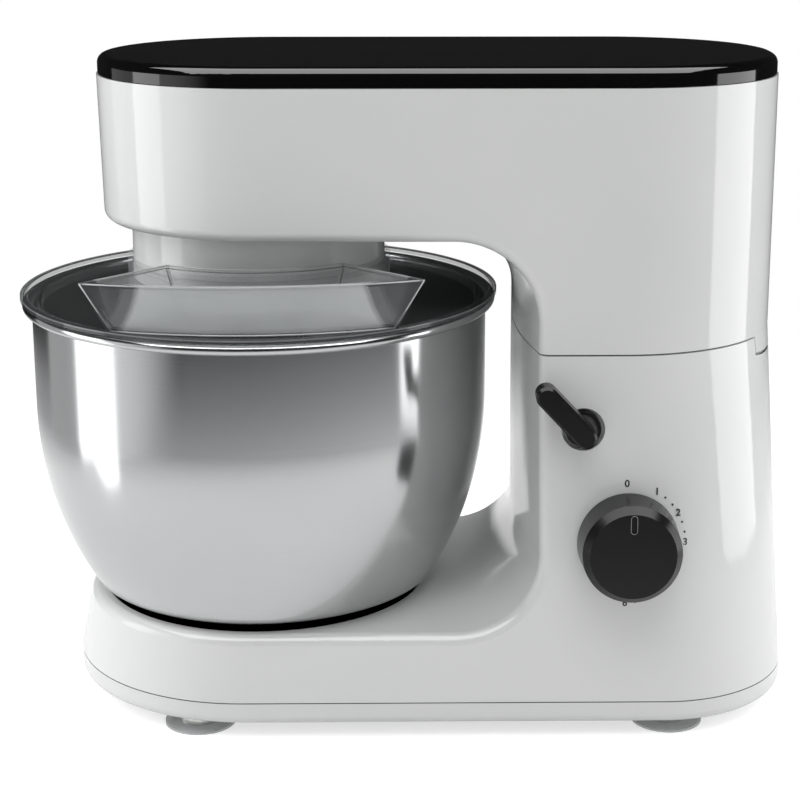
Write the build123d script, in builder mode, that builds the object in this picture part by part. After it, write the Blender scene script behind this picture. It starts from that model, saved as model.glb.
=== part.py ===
"""Tilt-head stand mixer: stand, bowl, splash guard, head, motor, belt drive and planetary gear."""
import os
from math import asin, atan2, cos, pi, radians, sin, sqrt

from build123d import *

os.makedirs("parts", exist_ok=True)

# Heights, each level built on the one below
FOOT_H = 7.0
PLATE_H = 11.0
DECK_H = 32.0
COLUMN_H = 129.5
ARCH_H = 50.5
HEAD_H = 67.0
COVER_H = 9.0
BASE_SEAM_Z = FOOT_H + PLATE_H
DECK_Z = BASE_SEAM_Z + DECK_H
SEAM_Z = DECK_Z + COLUMN_H
ARCH_Z = SEAM_Z + ARCH_H
COVER_Z = ARCH_Z + HEAD_H

# Plan of the body: X runs from the bowl at the front to the column at the rear
BOWL_X = -69.0
BASE_FRONT = -160.3
BASE_REAR = 181.5
BASE_HALF = 85.6
BASE_CORNER = 63.0
FLANK_FRONT = -128.0
HEAD_FRONT = -139.6
HEAD_REAR = 172.3
HEAD_HALF = 77.2
HEAD_FLARE = 0.8
HEAD_LEAN = 2.4
REAR_FLAT = 3.0
COLUMN_X = 60.0
CROWN = 8.7
CROWN_ARC = 40.0
ARCH_R = 37.0
REACH = 400.0
CROWN_R = (HEAD_HALF ** 2 + CROWN ** 2) / (2 * CROWN)
CROWN_X = COLUMN_X - CROWN + CROWN_R

# Shells, seams and fits
WALL = 3.0
EDGE_R = 5.0
PLATE_EDGE_R = 4.5
COVER_EDGE_R = 4.0
COVER_STEP = 0.6
PARTING = 0.8
SEAM_LINE = 0.3
SNUG = 0.15
FIT = 0.03
RUNNING = 0.05

# Tilt hinge near the rear wall
HINGE_BACK = 14.0
HINGE_DROP = 4.0
HINGE_PIN_R = 4.0
HINGE_BUSH_T = 1.2
EYE_R = 6.5
EAR_IN = 18.0
EAR_OUT = 26.0
ARM_IN = 8.0
PIN_END = 28.0
KNUCKLE_MID = 16.7
KNUCKLE_END = 5.2
KNUCKLE_HALF = 44.0
BRACKET_DROP = 21.5
BRACKET_T = 4.0
BRACKET_GAP = 1.0
BRACKET_WIDE = 48.0
BRACKET_SIDE = 5.2
BRACKET_SHORT = 10.0
BRACKET_NARROW = 34.0
EAR_FOOT = 26.0
SLOT_ROOM = 22.0
SLOT_PLAY = 6.0
SADDLE_T = 3.0
SADDLE_LEN = 42.0
FLOOR_SHORT = 19.0
HINGE_X = HEAD_REAR - HINGE_BACK
HINGE_Z = SEAM_Z - HINGE_DROP
BRACKET_Z = SEAM_Z - BRACKET_DROP
BRACKET_FRONT = COLUMN_X + WALL + BRACKET_GAP
BRACKET_STEP = BRACKET_FRONT + BRACKET_WIDE
BRACKET_REAR = HINGE_X - BRACKET_SHORT
BRACKET_HALF = HEAD_HALF - BRACKET_SIDE
FLOOR_REAR = HINGE_X - FLOOR_SHORT
SADDLE_FRONT = HINGE_X - SADDLE_LEN

# Release lever, latch and interlock
LEVER_BACK = 19.1
LEVER_DROP = 33.4
LEVER_SHAFT_R = 4.0
LEVER_HOLE_R = 9.7
LEVER_BOSS_R = 8.0
LEVER_PROUD = 0.3
LEVER_NECK_R = 7.2
LEVER_LEN = 35.3
LEVER_W = 9.8
LEVER_STAND = 15.6
LEVER_T = 9.0
LEVER_ANGLE = 133.0
LEVER_SINK = 2.5
LEVER_GAP = 0.8
LEVER_CHAMFER = 1.2
SHAFT_TAIL = 30.0
BUSH_R = 7.0
BUSH_IN = 52.0
HOOK_Y = -43.0
HOOK_T = 6.0
HOOK_RISE = 28.0
HOOK_W = 7.0
HOOK_SET = 2.5
NOSE_GAP = 0.9
NOSE_T = 4.5
CATCH_BACK = 13.9
CATCH_DROP = 10.5
CATCH_R = 2.5
CATCH_HALF = 8.0
CATCH_T = 2.0
CATCH_PAD = 14.0
SPRING_WIRE = 0.8
SPRING_GAP = 0.6
SPRING_TURNS = 4
SPRING_PITCH = 2.2
INTERLOCK_BACK = 36.0
INTERLOCK_Y = 30.0
INTERLOCK_W = 20.0
INTERLOCK_D = 10.0
INTERLOCK_H = 12.0
PLUNGER_R = 2.5
PLUNGER_SEAT = 4.0
LEVER_X = COLUMN_X + LEVER_BACK
LEVER_Z = SEAM_Z - LEVER_DROP
CATCH_X = LEVER_X + CATCH_BACK
CATCH_Z = SEAM_Z - CATCH_DROP
INTERLOCK_X = COLUMN_X + INTERLOCK_BACK

# Speed knob and its switch
KNOB_BACK = 40.0
KNOB_DROP = 85.6
KNOB_BASE_R = 23.0
KNOB_SHOULDER_R = 22.2
KNOB_FACE_R = 19.2
KNOB_SIDE = 18.0
KNOB_H = 22.0
KNOB_GAP = 0.6
POINTER_W = 2.8
POINTER_LEN = 8.2
POINTER_EDGE = 0.6
POINTER_DEEP = 1.0
POINTER_TURN = 90.0
SPINDLE_R = 3.0
SWITCH_W = 26.0
SWITCH_D = 14.0
SWITCH_NOSE_R = 4.8
KNOB_X = COLUMN_X + KNOB_BACK
KNOB_Z = SEAM_Z - KNOB_DROP

# Bowl, its foot and the bayonet in the deck
BOWL_R = 107.3
BOWL_WALL = 1.4
BOWL_LIFT = 3.4
BOWL_SIDE_R = 163.0
BOWL_SIDE_ARC = 31.0
BOWL_KNEE_R = 9.8
BOWL_H = 137.2
RIM_ROLL = 2.4
RIM_OUT = 2.0
SEAT_R = 77.7
SEAT_DEEP = 13.0
SEAT_WALL = 2.4
SKIRT_GAP = 1.7
LUG_GAP = 3.7
LUG_OUT = 5.0
LUG_RISE = 3.0
LUG_T = 4.2
LUG_ARC = 28.0
LUG_COUNT = 3
HOOK_ARC = 32.0
HOOK_SUNK = 1.8
LIFT = 0.4
SEAT_PLAY = 0.6
SEAT_RING_R = 46.0
SEAT_RING_T = 2.0
SEAT_SCREW_R = 56.0
SEAT_SCREW_TURN = 60.0
SPIGOT_T = 7.0
BOWL_LOW = DECK_Z + BOWL_LIFT
RIM_Z = BOWL_LOW + BOWL_H
RIM_R = BOWL_R + RIM_OUT
SEAT_FLOOR_Z = DECK_Z - SEAT_DEEP
BOWL_FOOT_R = SEAT_R - SKIRT_GAP
LUG_R = SEAT_R - LUG_GAP
LUG_Z = SEAT_FLOOR_Z + LUG_RISE
SPIGOT_R = LUG_R - LUG_OUT
HOOK_TOP = DECK_Z - HOOK_SUNK

# Neck and splash guard
NECK_R = 59.3
NECK_WALL = 3.8
NECK_DROP = 28.0
NECK_RIM = 6.7
NECK_SCREW_OUT = 2.5
GROOVE_RISE = 6.0
GROOVE_H = 2.8
GROOVE_D = 1.7
GUARD_T = 2.0
GUARD_RIM = 0.8
GUARD_LIFT = 0.4
GUARD_GAP = 0.6
BEAD_GAP = 0.5
COLLAR_RISE = 10.0
LIP_IN = 2.7
LIP_DROP = 5.0
CHUTE_H = 23.1
CHUTE_MIDDLE = 270.0
CHUTE_TURN = 2.2
CHUTE_MOUTH_ARC = 62.0
CHUTE_LOW_ARC = 31.0
CHUTE_TOP_ARC = 36.0
CHUTE_LOW_HALF = 61.5
CHUTE_TOP_HALF = 74.3
CHUTE_CORNER = 91.0
CHUTE_FRONT = 103.0
NECK_Z = ARCH_Z - NECK_DROP
NECK_FLANGE = NECK_R + NECK_RIM
NECK_SCREW_XY = (NECK_R + NECK_SCREW_OUT) * sin(pi / 4)
GROOVE_Z = NECK_Z + GROOVE_RISE
COLLAR_TOP = NECK_Z + COLLAR_RISE
GUARD_Z = RIM_Z + RIM_ROLL + GUARD_LIFT
GUARD_R = RIM_R + RIM_ROLL + GUARD_RIM
LIP_R = BOWL_R - LIP_IN
CHUTE_TOP = GUARD_Z + CHUTE_H
CHUTE_BACK_R = NECK_FLANGE

# Gear train: belt, spur pair, planet in a fixed ring
SPUR_MODULE = 1.25
PINION_TEETH = 12
MAIN_TEETH = 60
PLANET_MODULE = 1.5
PLANET_TEETH = 15
RING_TEETH = 55
DEDENDUM = 1.25
FLANK_LEAN = 0.36
BACKLASH = 0.4
SPUR_RISE = 14.0
SPUR_T = 10.0
RING_DROP = 14.0
RING_T = 11.0
SHAFT_R = 6.0
LAYSHAFT_R = 5.0
BIG_PULLEY_R = 34.0
SMALL_PULLEY_R = 7.0
BELT_RISE = 30.0
BELT_W = 8.0
BELT_T = 2.0
BELT_GAP = 0.3
PULLEY_CHEEK = 1.0
FRAME_RISE = 8.0
FRAME_T = 5.0
FRAME_REAR = 22.0
FRAME_HALF = 52.0
BRIDGE_RISE = 43.0
BRIDGE_T = 4.0
BRIDGE_EDGE = 6.0
LEG_R = 5.0
LEG_FRONT = 46.0
LEG_FRONT_Y = 20.0
LEG_REAR = 79.0
LEG_REAR_Y = 44.0
BEARING_R = 13.0
BEARING_T = 9.0
BEARING_BOSS_R = 16.0
CARRIER_LIFT = 1.0
CARRIER_T = 6.0
CARRIER_BOSS_R = 12.0
TOOL_BOSS_R = 10.0
TOOL_BOSS_H = 16.4
SPUR_DISTANCE = SPUR_MODULE * (PINION_TEETH + MAIN_TEETH) / 2
PLANET_OFFSET = PLANET_MODULE * (RING_TEETH - PLANET_TEETH) / 2
LAYSHAFT_X = BOWL_X + SPUR_DISTANCE
TOOL_X = BOWL_X + PLANET_OFFSET
RING_Z = ARCH_Z - RING_DROP
FRAME_Z = ARCH_Z + FRAME_RISE
SPUR_Z = FRAME_Z + SPUR_RISE
BELT_Z = FRAME_Z + BELT_RISE
BRIDGE_Z = FRAME_Z + BRIDGE_RISE
CARRIER_Z = NECK_Z + CARRIER_LIFT

# Flat beater
TOOL_DROP = 32.0
PIN_RISE = 8.0
PIN_R = 2.0
PIN_HALF = 11.0
BEATER_HUB_R = 10.5
BEATER_HUB_H = 34.0
BEATER_CUP = 16.0
BEATER_LIFT = 15.0
BEATER_WIDE = 58.0
BEATER_WIDE_H = 55.0
BEATER_FOOT = 42.0
BEATER_BAR = 9.0
BEATER_CROSS = 7.2
BEATER_T = 7.0
BEATER_ROUND = 14.0
TOOL_END_Z = NECK_Z - TOOL_DROP
PIN_Z = TOOL_END_Z + PIN_RISE
BEATER_TOP_Z = TOOL_END_Z + BEATER_CUP
BEATER_NECK_Z = BEATER_TOP_Z - BEATER_HUB_H
BEATER_LOW_Z = DECK_Z + BEATER_LIFT
BEATER_WIDE_Z = BEATER_LOW_Z + BEATER_WIDE_H

# Motor, stacked downwards from its belt pulley
MOTOR_BACK = 46.0
STATOR_CORNER = 8.0
STATOR_T = 38.0
YOKE_R = 34.0
BORE_R = 23.0
AIR_GAP = 0.6
SLOT_COUNT = 12
SLOT_W = 2.4
SLOT_DEEP = 7.0
POLE_ARC = 50.0
COIL_ARC = 84.0
POLE_SIDES = (90.0, 270.0)
COIL_PLAY = 2.0
COIL_END = 5.0
MOTOR_SHAFT_R = 4.0
COMMUTATOR_R = 12.0
COMMUTATOR_DROP = 13.0
COMMUTATOR_T = 7.0
BRUSH_LEN = 18.0
BRUSH_W = 8.0
FAN_R = 32.0
FAN_T = 5.0
FAN_GAP = 1.5
FAN_LIFT = 8.0
FAN_HUB_R = 8.0
BLADE_COUNT = 9
BLADE_W = 1.5
BLADE_LEN = 24.3
BLADE_MID = 18.6
LOWER_BRACKET_DROP = 22.0
MOTOR_BRACKET_T = 3.5
BOLT_R = 2.0
BOLT_SLEEVE_R = 4.0
BOLT_PITCH = 34.0
BOLT_EDGE = 6.0
STATOR_HALF = BOLT_PITCH + BOLT_EDGE
MOTOR_X = HINGE_X - MOTOR_BACK
UPPER_BRACKET_Z = BELT_Z - 2 * PULLEY_CHEEK - MOTOR_BRACKET_T
FAN_Z = UPPER_BRACKET_Z - FAN_GAP - FAN_T
STATOR_TOP = FAN_Z - FAN_LIFT
STATOR_Z = STATOR_TOP - STATOR_T
COMMUTATOR_Z = STATOR_Z - COMMUTATOR_DROP
LOWER_BRACKET_Z = STATOR_Z - LOWER_BRACKET_DROP

# Feet, screws, board and gland
FOOT_R = 16.5
FOOT_RIM = 1.6
FOOT_EDGE = 1.2
FOOT_FRONT_X = -96.5
FOOT_REAR_X = 122.2
FOOT_SIDE = 21.6
CUP_HOLLOW = 1.2
CUP_MID_R = 10.0
CUP_MID_Z = 0.75
CUP_TOP = 2.0
PLUG_R = 8.0
PLUG_TOP = 5.2
FERRULE_R = 10.5
STUD_R = 2.5
STUD_GRIP = 7.0
SCREW_R = 2.0
SCREW_HEAD_R = 4.0
SCREW_HEAD_T = 2.6
SCREW_DEPTH = 11.0
VENT_X = 100.0
VENT_PITCH = 9.0
VENT_COUNT = 6
VENT_LEN = 46.0
VENT_W = 3.0
POST_R = 6.0
POST_H = 22.0
SEAT_POST_X = 55.0
SEAT_POST_Y = 40.0
MID_POST_X = 40.0
MID_POST_Y = 60.0
REAR_POST_IN = 8.5
REAR_POST_Y = 18.0
FRONT_SHELF_X = 69.0
FRONT_SHELF_Y = 20.0
SIDE_SHELF_X = 105.0
SIDE_SHELF_IN = 9.2
BOARD_STANDOFF = 5.0
BOARD_Y = 25.0
BOARD_DROP = 72.5
BOARD_W = 70.0
BOARD_H = 52.0
BOARD_T = 1.6
BOARD_INSET = 6.0
STANDOFF_R = 4.0
SINK_W = 17.5
SINK_H = 26.0
SINK_Y = -17.5
CAPACITOR_R = 7.0
CAPACITOR_H = 14.0
CAPACITOR_Y = 11.7
CAPACITOR_Z = 10.4
TERMINAL_W = 23.3
TERMINAL_H = 10.4
TERMINAL_Y = 14.0
TERMINAL_Z = -13.0
GLAND_RISE = 16.0
GLAND_R = 5.5
GLAND_BORE_R = 3.6
GLAND_LEN = 12.0
GLAND_MOUTH = 6.0
GLAND_MOUTH_R = 4.4
GLAND_FLANGE_R = 8.5
FOOT_Y = BASE_HALF - FOOT_SIDE
GLAND_Z = BASE_SEAM_Z + GLAND_RISE
BOARD_Z = SEAM_Z - BOARD_DROP


def plan(front, rear, half, corner):
    """Closed outline: half-round nose, straight sides, two rounded rear corners."""
    nose = front + half
    tail = rear - corner
    flat = half - corner
    with BuildSketch() as outline:
        with BuildLine():
            CenterArc((nose, 0), half, 90, 90)
            CenterArc((nose, 0), half, 180, 90)
            Line((nose, -half), (tail, -half))
            CenterArc((tail, -flat), corner, 270, 90)
            Line((rear, -flat), (rear, flat))
            CenterArc((tail, flat), corner, 0, 90)
            Line((tail, half), (nose, half))
        make_face()
    return outline.sketch


def stand_half(z):
    """Half width of the stand at a height."""
    share = (z - BASE_SEAM_Z) / (SEAM_Z - BASE_SEAM_Z)
    return BASE_HALF + (HEAD_HALF - BASE_HALF) * share


def stand_rear(z):
    """Rear end of the stand at a height."""
    share = (z - BASE_SEAM_Z) / (SEAM_Z - BASE_SEAM_Z)
    return BASE_REAR + (HEAD_REAR - BASE_REAR) * share


def stand_plan(z, inset=0.0):
    """Outline of the stand at a height, drawn in by the inset."""
    share = (z - BASE_SEAM_Z) / (SEAM_Z - BASE_SEAM_Z)
    front = BASE_FRONT + (FLANK_FRONT - BASE_FRONT) * share
    corner = BASE_CORNER + (HEAD_HALF - REAR_FLAT - BASE_CORNER) * share
    return plan(front + inset, stand_rear(z) - inset, stand_half(z) - inset, corner - inset)


def head_plan(z, inset=0.0):
    """Outline of the head at a height, drawn in by the inset."""
    share = (z - SEAM_Z) / (COVER_Z - SEAM_Z)
    half = HEAD_HALF + HEAD_FLARE * share - inset
    return plan(HEAD_FRONT - HEAD_LEAN * share + inset, HEAD_REAR - inset, half, half - REAR_FLAT)


def window(grow=0.0):
    """Side view of the gap that the bowl stands in."""
    height = ARCH_Z - DECK_Z + 2 * grow
    with BuildSketch() as gap:
        with Locations((COLUMN_X + grow - REACH / 2, (ARCH_Z + DECK_Z) / 2)):
            Rectangle(REACH, height)
        fillet(gap.vertices().group_by(Axis.X)[-1], ARCH_R + grow)
    return gap.sketch


def bowl_gap(grow=0.0):
    """The gap itself, swept about a far upright axis so that the column's face is crowned."""
    lean = radians(CROWN_ARC / 2)
    start = Plane(origin=(CROWN_X, 0, 0), x_dir=(cos(lean), -sin(lean), 0), z_dir=(-sin(lean), -cos(lean), 0))
    with BuildPart() as gap:
        with BuildSketch(start):
            with Locations((-COLUMN_X - CROWN_R, 0)):
                add(window(grow))
        revolve(axis=Axis((CROWN_X, 0, 0), (0, 0, 1)), revolution_arc=CROWN_ARC)
    return gap.part


def column_face(y):
    """Crowned front face of the column at a distance from the middle."""
    return CROWN_X - sqrt(CROWN_R ** 2 - y ** 2)


def knuckle(shrink):
    """Barrel about the hinge axis with the slot above it, where the head's tongue turns."""
    half = KNUCKLE_HALF - shrink
    end = KNUCKLE_END - shrink
    mid = KNUCKLE_MID - shrink
    with BuildPart() as barrel:
        with BuildSketch(Plane.YZ.offset(HINGE_X)):
            with BuildLine():
                ThreePointArc((-half, HINGE_Z + end), (0, HINGE_Z + mid), (half, HINGE_Z + end))
                Line((half, HINGE_Z + end), (half, HINGE_Z))
                Line((half, HINGE_Z), (-half, HINGE_Z))
                Line((-half, HINGE_Z), (-half, HINGE_Z + end))
            make_face()
        revolve(axis=Axis((HINGE_X, 0, HINGE_Z), (0, 1, 0)))
        with BuildSketch(Plane.XY.offset(HINGE_Z)):
            with Locations((HINGE_X + HINGE_BACK / 2, 0)):
                Rectangle(2 * HINGE_BACK, 2 * half)
        extrude(amount=SEAM_Z + PARTING - HINGE_Z)
    return barrel.part


def ring_sector(inner, outer, middle, arc):
    """Flat ring sector about the origin, centred on an angle."""
    low = middle - arc / 2
    high = middle + arc / 2
    with BuildSketch() as sector:
        with BuildLine():
            CenterArc((0, 0), outer, low, arc)
            CenterArc((0, 0), inner, low, arc)
            for angle in (low, high):
                Line((inner * cos(radians(angle)), inner * sin(radians(angle))),
                     (outer * cos(radians(angle)), outer * sin(radians(angle))))
        make_face()
    return sector.sketch


def gear_outline(teeth, module, backlash, turn, inside=False):
    """Toothed outline with straight flanks, a tooth standing at the turn angle."""
    pitch = module * teeth / 2
    tip = pitch + module * (DEDENDUM if inside else 1)
    root = pitch - module * (1 if inside else DEDENDUM)
    slack = backlash / 2 * (-1 if inside else 1)
    lean = FLANK_LEAN * module
    base = pi * module / 4 - slack
    points = []
    for tooth in range(teeth):
        middle = turn + 360 / teeth * tooth
        for radius, half in ((root, base + DEDENDUM * lean), (tip, base - lean)):
            points.append((radius, middle - half / radius * 180 / pi))
        for radius, half in ((tip, base - lean), (root, base + DEDENDUM * lean)):
            points.append((radius, middle + half / radius * 180 / pi))
    corners = [(r * cos(radians(a)), r * sin(radians(a))) for r, a in points]
    with BuildSketch() as outline:
        with BuildLine():
            Polyline(*corners, close=True)
        make_face()
    return outline.sketch


# Hollow inside the stand, one wall in from every outer face
with BuildPart() as stand_hollow:
    with BuildSketch(Plane.XY.offset(BASE_SEAM_Z)):
        add(stand_plan(BASE_SEAM_Z, WALL))
    with BuildSketch(Plane.XY.offset(SEAM_Z)):
        add(stand_plan(SEAM_Z, WALL))
    loft(ruled=True)
    add(bowl_gap(WALL), mode=Mode.SUBTRACT)
    with BuildSketch(Plane.XY.offset(SEAT_FLOOR_Z - WALL)):
        with Locations((BOWL_X, 0)):
            Circle(SEAT_R + SEAT_WALL)
    extrude(amount=DECK_Z, mode=Mode.SUBTRACT)

# Places shared by the pieces of the stand
STAND_TOP = SEAM_Z - PARTING / 2
SEAT_POSTS = [(BOWL_X + sx * SEAT_POST_X, sy * SEAT_POST_Y) for sx in (-1, 1) for sy in (-1, 1)]
MID_POSTS = [(MID_POST_X, sy * MID_POST_Y) for sy in (-1, 1)]
REAR_POSTS = [(BASE_REAR - REAR_POST_IN, sy * REAR_POST_Y) for sy in (-1, 1)]
PLATE_POSTS = SEAT_POSTS + MID_POSTS + REAR_POSTS
SIDE_SHELF_Y = HEAD_HALF - SIDE_SHELF_IN
FRONT_SHELVES = [(FRONT_SHELF_X, sy * FRONT_SHELF_Y) for sy in (-1, 1)]
SIDE_SHELVES = [(SIDE_SHELF_X, sy * SIDE_SHELF_Y) for sy in (-1, 1)]
SHELVES = FRONT_SHELVES + SIDE_SHELVES
BOARD_CORNERS = [(BOARD_Y + sy * (BOARD_W / 2 - BOARD_INSET), BOARD_Z + sz * (BOARD_H / 2 - BOARD_INSET))
                 for sy in (-1, 1) for sz in (-1, 1)]
FOOT_SPOTS = [(x, sy * FOOT_Y, 0) for x in (FOOT_FRONT_X, FOOT_REAR_X) for sy in (-1, 1)]
SHELF_ROOT = column_face(FRONT_SHELF_Y) + WALL / 2
FRONT_SHELF_LEN = FRONT_SHELF_X + POST_R - SHELF_ROOT
SIDE_SHELF_LEN = 2 * (stand_half(BRACKET_Z) - WALL / 2 - SIDE_SHELF_Y)
LEVER_WALL = stand_half(LEVER_Z) - WALL
LEVER_FLUSH = LEVER_WALL + WALL + LEVER_PROUD
LEVER_OUT = LEVER_WALL + WALL + LEVER_STAND
DRAFT = atan2(BASE_HALF - HEAD_HALF, SEAM_Z - BASE_SEAM_Z)
KNOB_PLANE = Plane(origin=(KNOB_X, -stand_half(KNOB_Z), KNOB_Z), x_dir=(1, 0, 0),
                   z_dir=(0, -cos(DRAFT), sin(DRAFT)))
LEVER_PLANE = Plane(origin=(LEVER_X, 0, LEVER_Z), x_dir=(1, 0, 0), z_dir=(0, -1, 0))
GLAND_PLANE = Plane(origin=(stand_rear(GLAND_Z), 0, GLAND_Z), x_dir=(0, 1, 0), z_dir=(-1, 0, 0))
BOARD_FACE = COLUMN_X + WALL + BOARD_STANDOFF
BOWL_PLANE = Plane(origin=(BOWL_X, 0, 0), x_dir=(1, 0, 0), z_dir=(0, -1, 0))
BOWL_AXIS = Axis((BOWL_X, 0, 0), (0, 0, 1))

# Base and column: one white moulding, open below and at the top of the column
with BuildPart() as base_housing:
    with BuildSketch(Plane.XY.offset(BASE_SEAM_Z)):
        add(stand_plan(BASE_SEAM_Z))
    with BuildSketch(Plane.XY.offset(STAND_TOP)):
        add(stand_plan(STAND_TOP))
    loft(ruled=True)
    add(bowl_gap(), mode=Mode.SUBTRACT)
    brim = base_housing.edges().filter_by(
        lambda e: abs(e.center().Y) > BASE_CORNER / 3 and e.center().X < COLUMN_X + EDGE_R
        and DECK_Z - EDGE_R < e.center().Z < STAND_TOP - EDGE_R)
    fillet(brim, EDGE_R)
    add(stand_hollow.part, mode=Mode.SUBTRACT)
    with BuildSketch(Plane.XY.offset(SEAT_FLOOR_Z)):
        with Locations((BOWL_X, 0)):
            Circle(SEAT_R)
    extrude(amount=DECK_Z, mode=Mode.SUBTRACT)
    add(knuckle(0), mode=Mode.SUBTRACT)
    with BuildSketch(Plane.XY.offset(BASE_SEAM_Z)):
        with Locations(*SEAT_POSTS):
            Circle(POST_R)
    extrude(amount=SEAT_FLOOR_Z - WALL / 2 - BASE_SEAM_Z)
    with BuildSketch(Plane.XY.offset(BASE_SEAM_Z)):
        with Locations(*MID_POSTS, *REAR_POSTS):
            Circle(POST_R)
    extrude(amount=DECK_Z - BASE_SEAM_Z)
    with BuildSketch(Plane.XY.offset(BASE_SEAM_Z)):
        with Locations(*PLATE_POSTS):
            Circle(SCREW_R + FIT)
    extrude(amount=SCREW_DEPTH, mode=Mode.SUBTRACT)
    with BuildSketch(Plane.XY.offset(BRACKET_Z)):
        with Locations(*[(SHELF_ROOT, y) for x, y in FRONT_SHELVES]):
            Rectangle(FRONT_SHELF_LEN, 2 * POST_R, align=(Align.MIN, Align.CENTER))
        with Locations(*SIDE_SHELVES):
            Rectangle(2 * POST_R, SIDE_SHELF_LEN)
    extrude(amount=-POST_H)
    with BuildSketch(Plane.XY.offset(BRACKET_Z)):
        with Locations(*SHELVES):
            Circle(SCREW_R + FIT)
    extrude(amount=-SCREW_DEPTH, mode=Mode.SUBTRACT)
    with BuildSketch(LEVER_PLANE.offset(BUSH_IN)):
        Circle(BUSH_R + WALL)
    extrude(amount=LEVER_WALL + WALL / 2 - BUSH_IN)
    with BuildSketch(LEVER_PLANE):
        Circle(BUSH_R + FIT)
    extrude(amount=LEVER_WALL, mode=Mode.SUBTRACT)
    with BuildSketch(LEVER_PLANE.offset(LEVER_WALL - LEVER_SINK)):
        Circle(LEVER_HOLE_R)
    extrude(amount=LEVER_WALL, mode=Mode.SUBTRACT)
    with BuildSketch(KNOB_PLANE.offset(-2 * WALL)):
        Circle(SWITCH_NOSE_R + SNUG)
    extrude(amount=3 * WALL, mode=Mode.SUBTRACT)
    for y, z in BOARD_CORNERS:
        with BuildSketch(Plane.YZ.offset(column_face(y) + WALL / 2)):
            with Locations((y, z)):
                Circle(STANDOFF_R)
        extrude(amount=BOARD_FACE - column_face(y) - WALL / 2)
    with BuildSketch(GLAND_PLANE.offset(-WALL)):
        Circle(GLAND_R + SNUG)
    extrude(amount=3 * WALL, mode=Mode.SUBTRACT)
    with BuildSketch(Plane.XY.offset(SEAT_FLOOR_Z)):
        with Locations((BOWL_X, 0)):
            with PolarLocations(SEAT_SCREW_R, LUG_COUNT, start_angle=SEAT_SCREW_TURN):
                Circle(SCREW_R + FIT)
    extrude(amount=-WALL, mode=Mode.SUBTRACT)

# White plate that closes the base, with pillars for the screws and bosses for the foot studs
with BuildPart() as bottom_plate:
    with BuildSketch(Plane.XY.offset(FOOT_H)):
        add(stand_plan(BASE_SEAM_Z))
    extrude(amount=PLATE_H - SEAM_LINE)
    fillet(bottom_plate.edges().group_by(Axis.Z)[0], PLATE_EDGE_R)
    with BuildSketch(Plane.XY.offset(FOOT_H + WALL)):
        add(stand_plan(BASE_SEAM_Z, WALL))
    extrude(amount=PLATE_H, mode=Mode.SUBTRACT)
    with BuildSketch(Plane.XY.offset(FOOT_H + WALL / 2)):
        with Locations(*PLATE_POSTS):
            Circle(POST_R)
    extrude(amount=PLATE_H - SEAM_LINE - WALL / 2)
    with BuildSketch(Plane.XY.offset(FOOT_H)):
        with Locations(*PLATE_POSTS):
            Circle(SCREW_R + FIT)
    extrude(amount=PLATE_H, mode=Mode.SUBTRACT)
    with BuildSketch(Plane.XY.offset(FOOT_H)):
        with Locations(*PLATE_POSTS):
            Circle(SCREW_HEAD_R + SNUG)
    extrude(amount=SCREW_HEAD_T + SNUG, mode=Mode.SUBTRACT)
    with BuildSketch(Plane.XY.offset(FOOT_H + WALL / 2)):
        with Locations(*[(x, y) for x, y, z in FOOT_SPOTS]):
            Circle(STUD_R + WALL)
    extrude(amount=STUD_GRIP - WALL / 2)
    with BuildSketch(Plane.XY.offset(FOOT_H)):
        with Locations(*[(x, y) for x, y, z in FOOT_SPOTS]):
            Circle(STUD_R + FIT)
    extrude(amount=PLATE_H, mode=Mode.SUBTRACT)
    with BuildSketch(Plane.XY.offset(FOOT_H)):
        with Locations((VENT_X, 0)):
            with GridLocations(VENT_PITCH, 0, VENT_COUNT, 1):
                SlotOverall(VENT_LEN, VENT_W, rotation=90)
    extrude(amount=WALL, mode=Mode.SUBTRACT)


def suction_foot():
    """One clear cup: thin disc with a hollow below, plug above it for the ferrule."""
    with BuildPart() as cup:
        with BuildSketch(Plane.XZ):
            with BuildLine():
                Polyline((FOOT_R - FOOT_RIM, 0), (FOOT_R, 0), (FOOT_R, FOOT_EDGE), (FERRULE_R, CUP_TOP),
                         (PLUG_R, CUP_TOP), (PLUG_R, PLUG_TOP), (0, PLUG_TOP), (0, CUP_HOLLOW))
                ThreePointArc((0, CUP_HOLLOW), (CUP_MID_R, CUP_MID_Z), (FOOT_R - FOOT_RIM, 0))
            make_face()
        revolve(axis=Axis.Z)
    return cup.part


# Four clear suction cups
with BuildPart() as suction_feet:
    with Locations(*FOOT_SPOTS):
        add(suction_foot())

# Bright ferrules over the cups' plugs, each with a stud up into the plate
with BuildPart() as foot_studs:
    with BuildSketch(Plane.XY.offset(CUP_TOP + FIT)):
        with Locations(*[(x, y) for x, y, z in FOOT_SPOTS]):
            Circle(FERRULE_R)
    extrude(amount=FOOT_H - CUP_TOP - FIT)
    with BuildSketch(Plane.XY.offset(CUP_TOP + FIT)):
        with Locations(*[(x, y) for x, y, z in FOOT_SPOTS]):
            Circle(PLUG_R + FIT)
    extrude(amount=PLUG_TOP - CUP_TOP, mode=Mode.SUBTRACT)
    with BuildSketch(Plane.XY.offset(FOOT_H)):
        with Locations(*[(x, y) for x, y, z in FOOT_SPOTS]):
            Circle(STUD_R)
    extrude(amount=STUD_GRIP)

# Screws that hold the plate to the housing's posts
with BuildPart() as bottom_screws:
    with BuildSketch(Plane.XY.offset(FOOT_H + SNUG)):
        with Locations(*PLATE_POSTS):
            Circle(SCREW_HEAD_R)
    extrude(amount=SCREW_HEAD_T - SNUG)
    with BuildSketch(Plane.XY.offset(FOOT_H + SCREW_HEAD_T)):
        with Locations(*PLATE_POSTS):
            Circle(SCREW_R)
    extrude(amount=PLATE_H - SCREW_HEAD_T + SCREW_DEPTH - SNUG)

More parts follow.
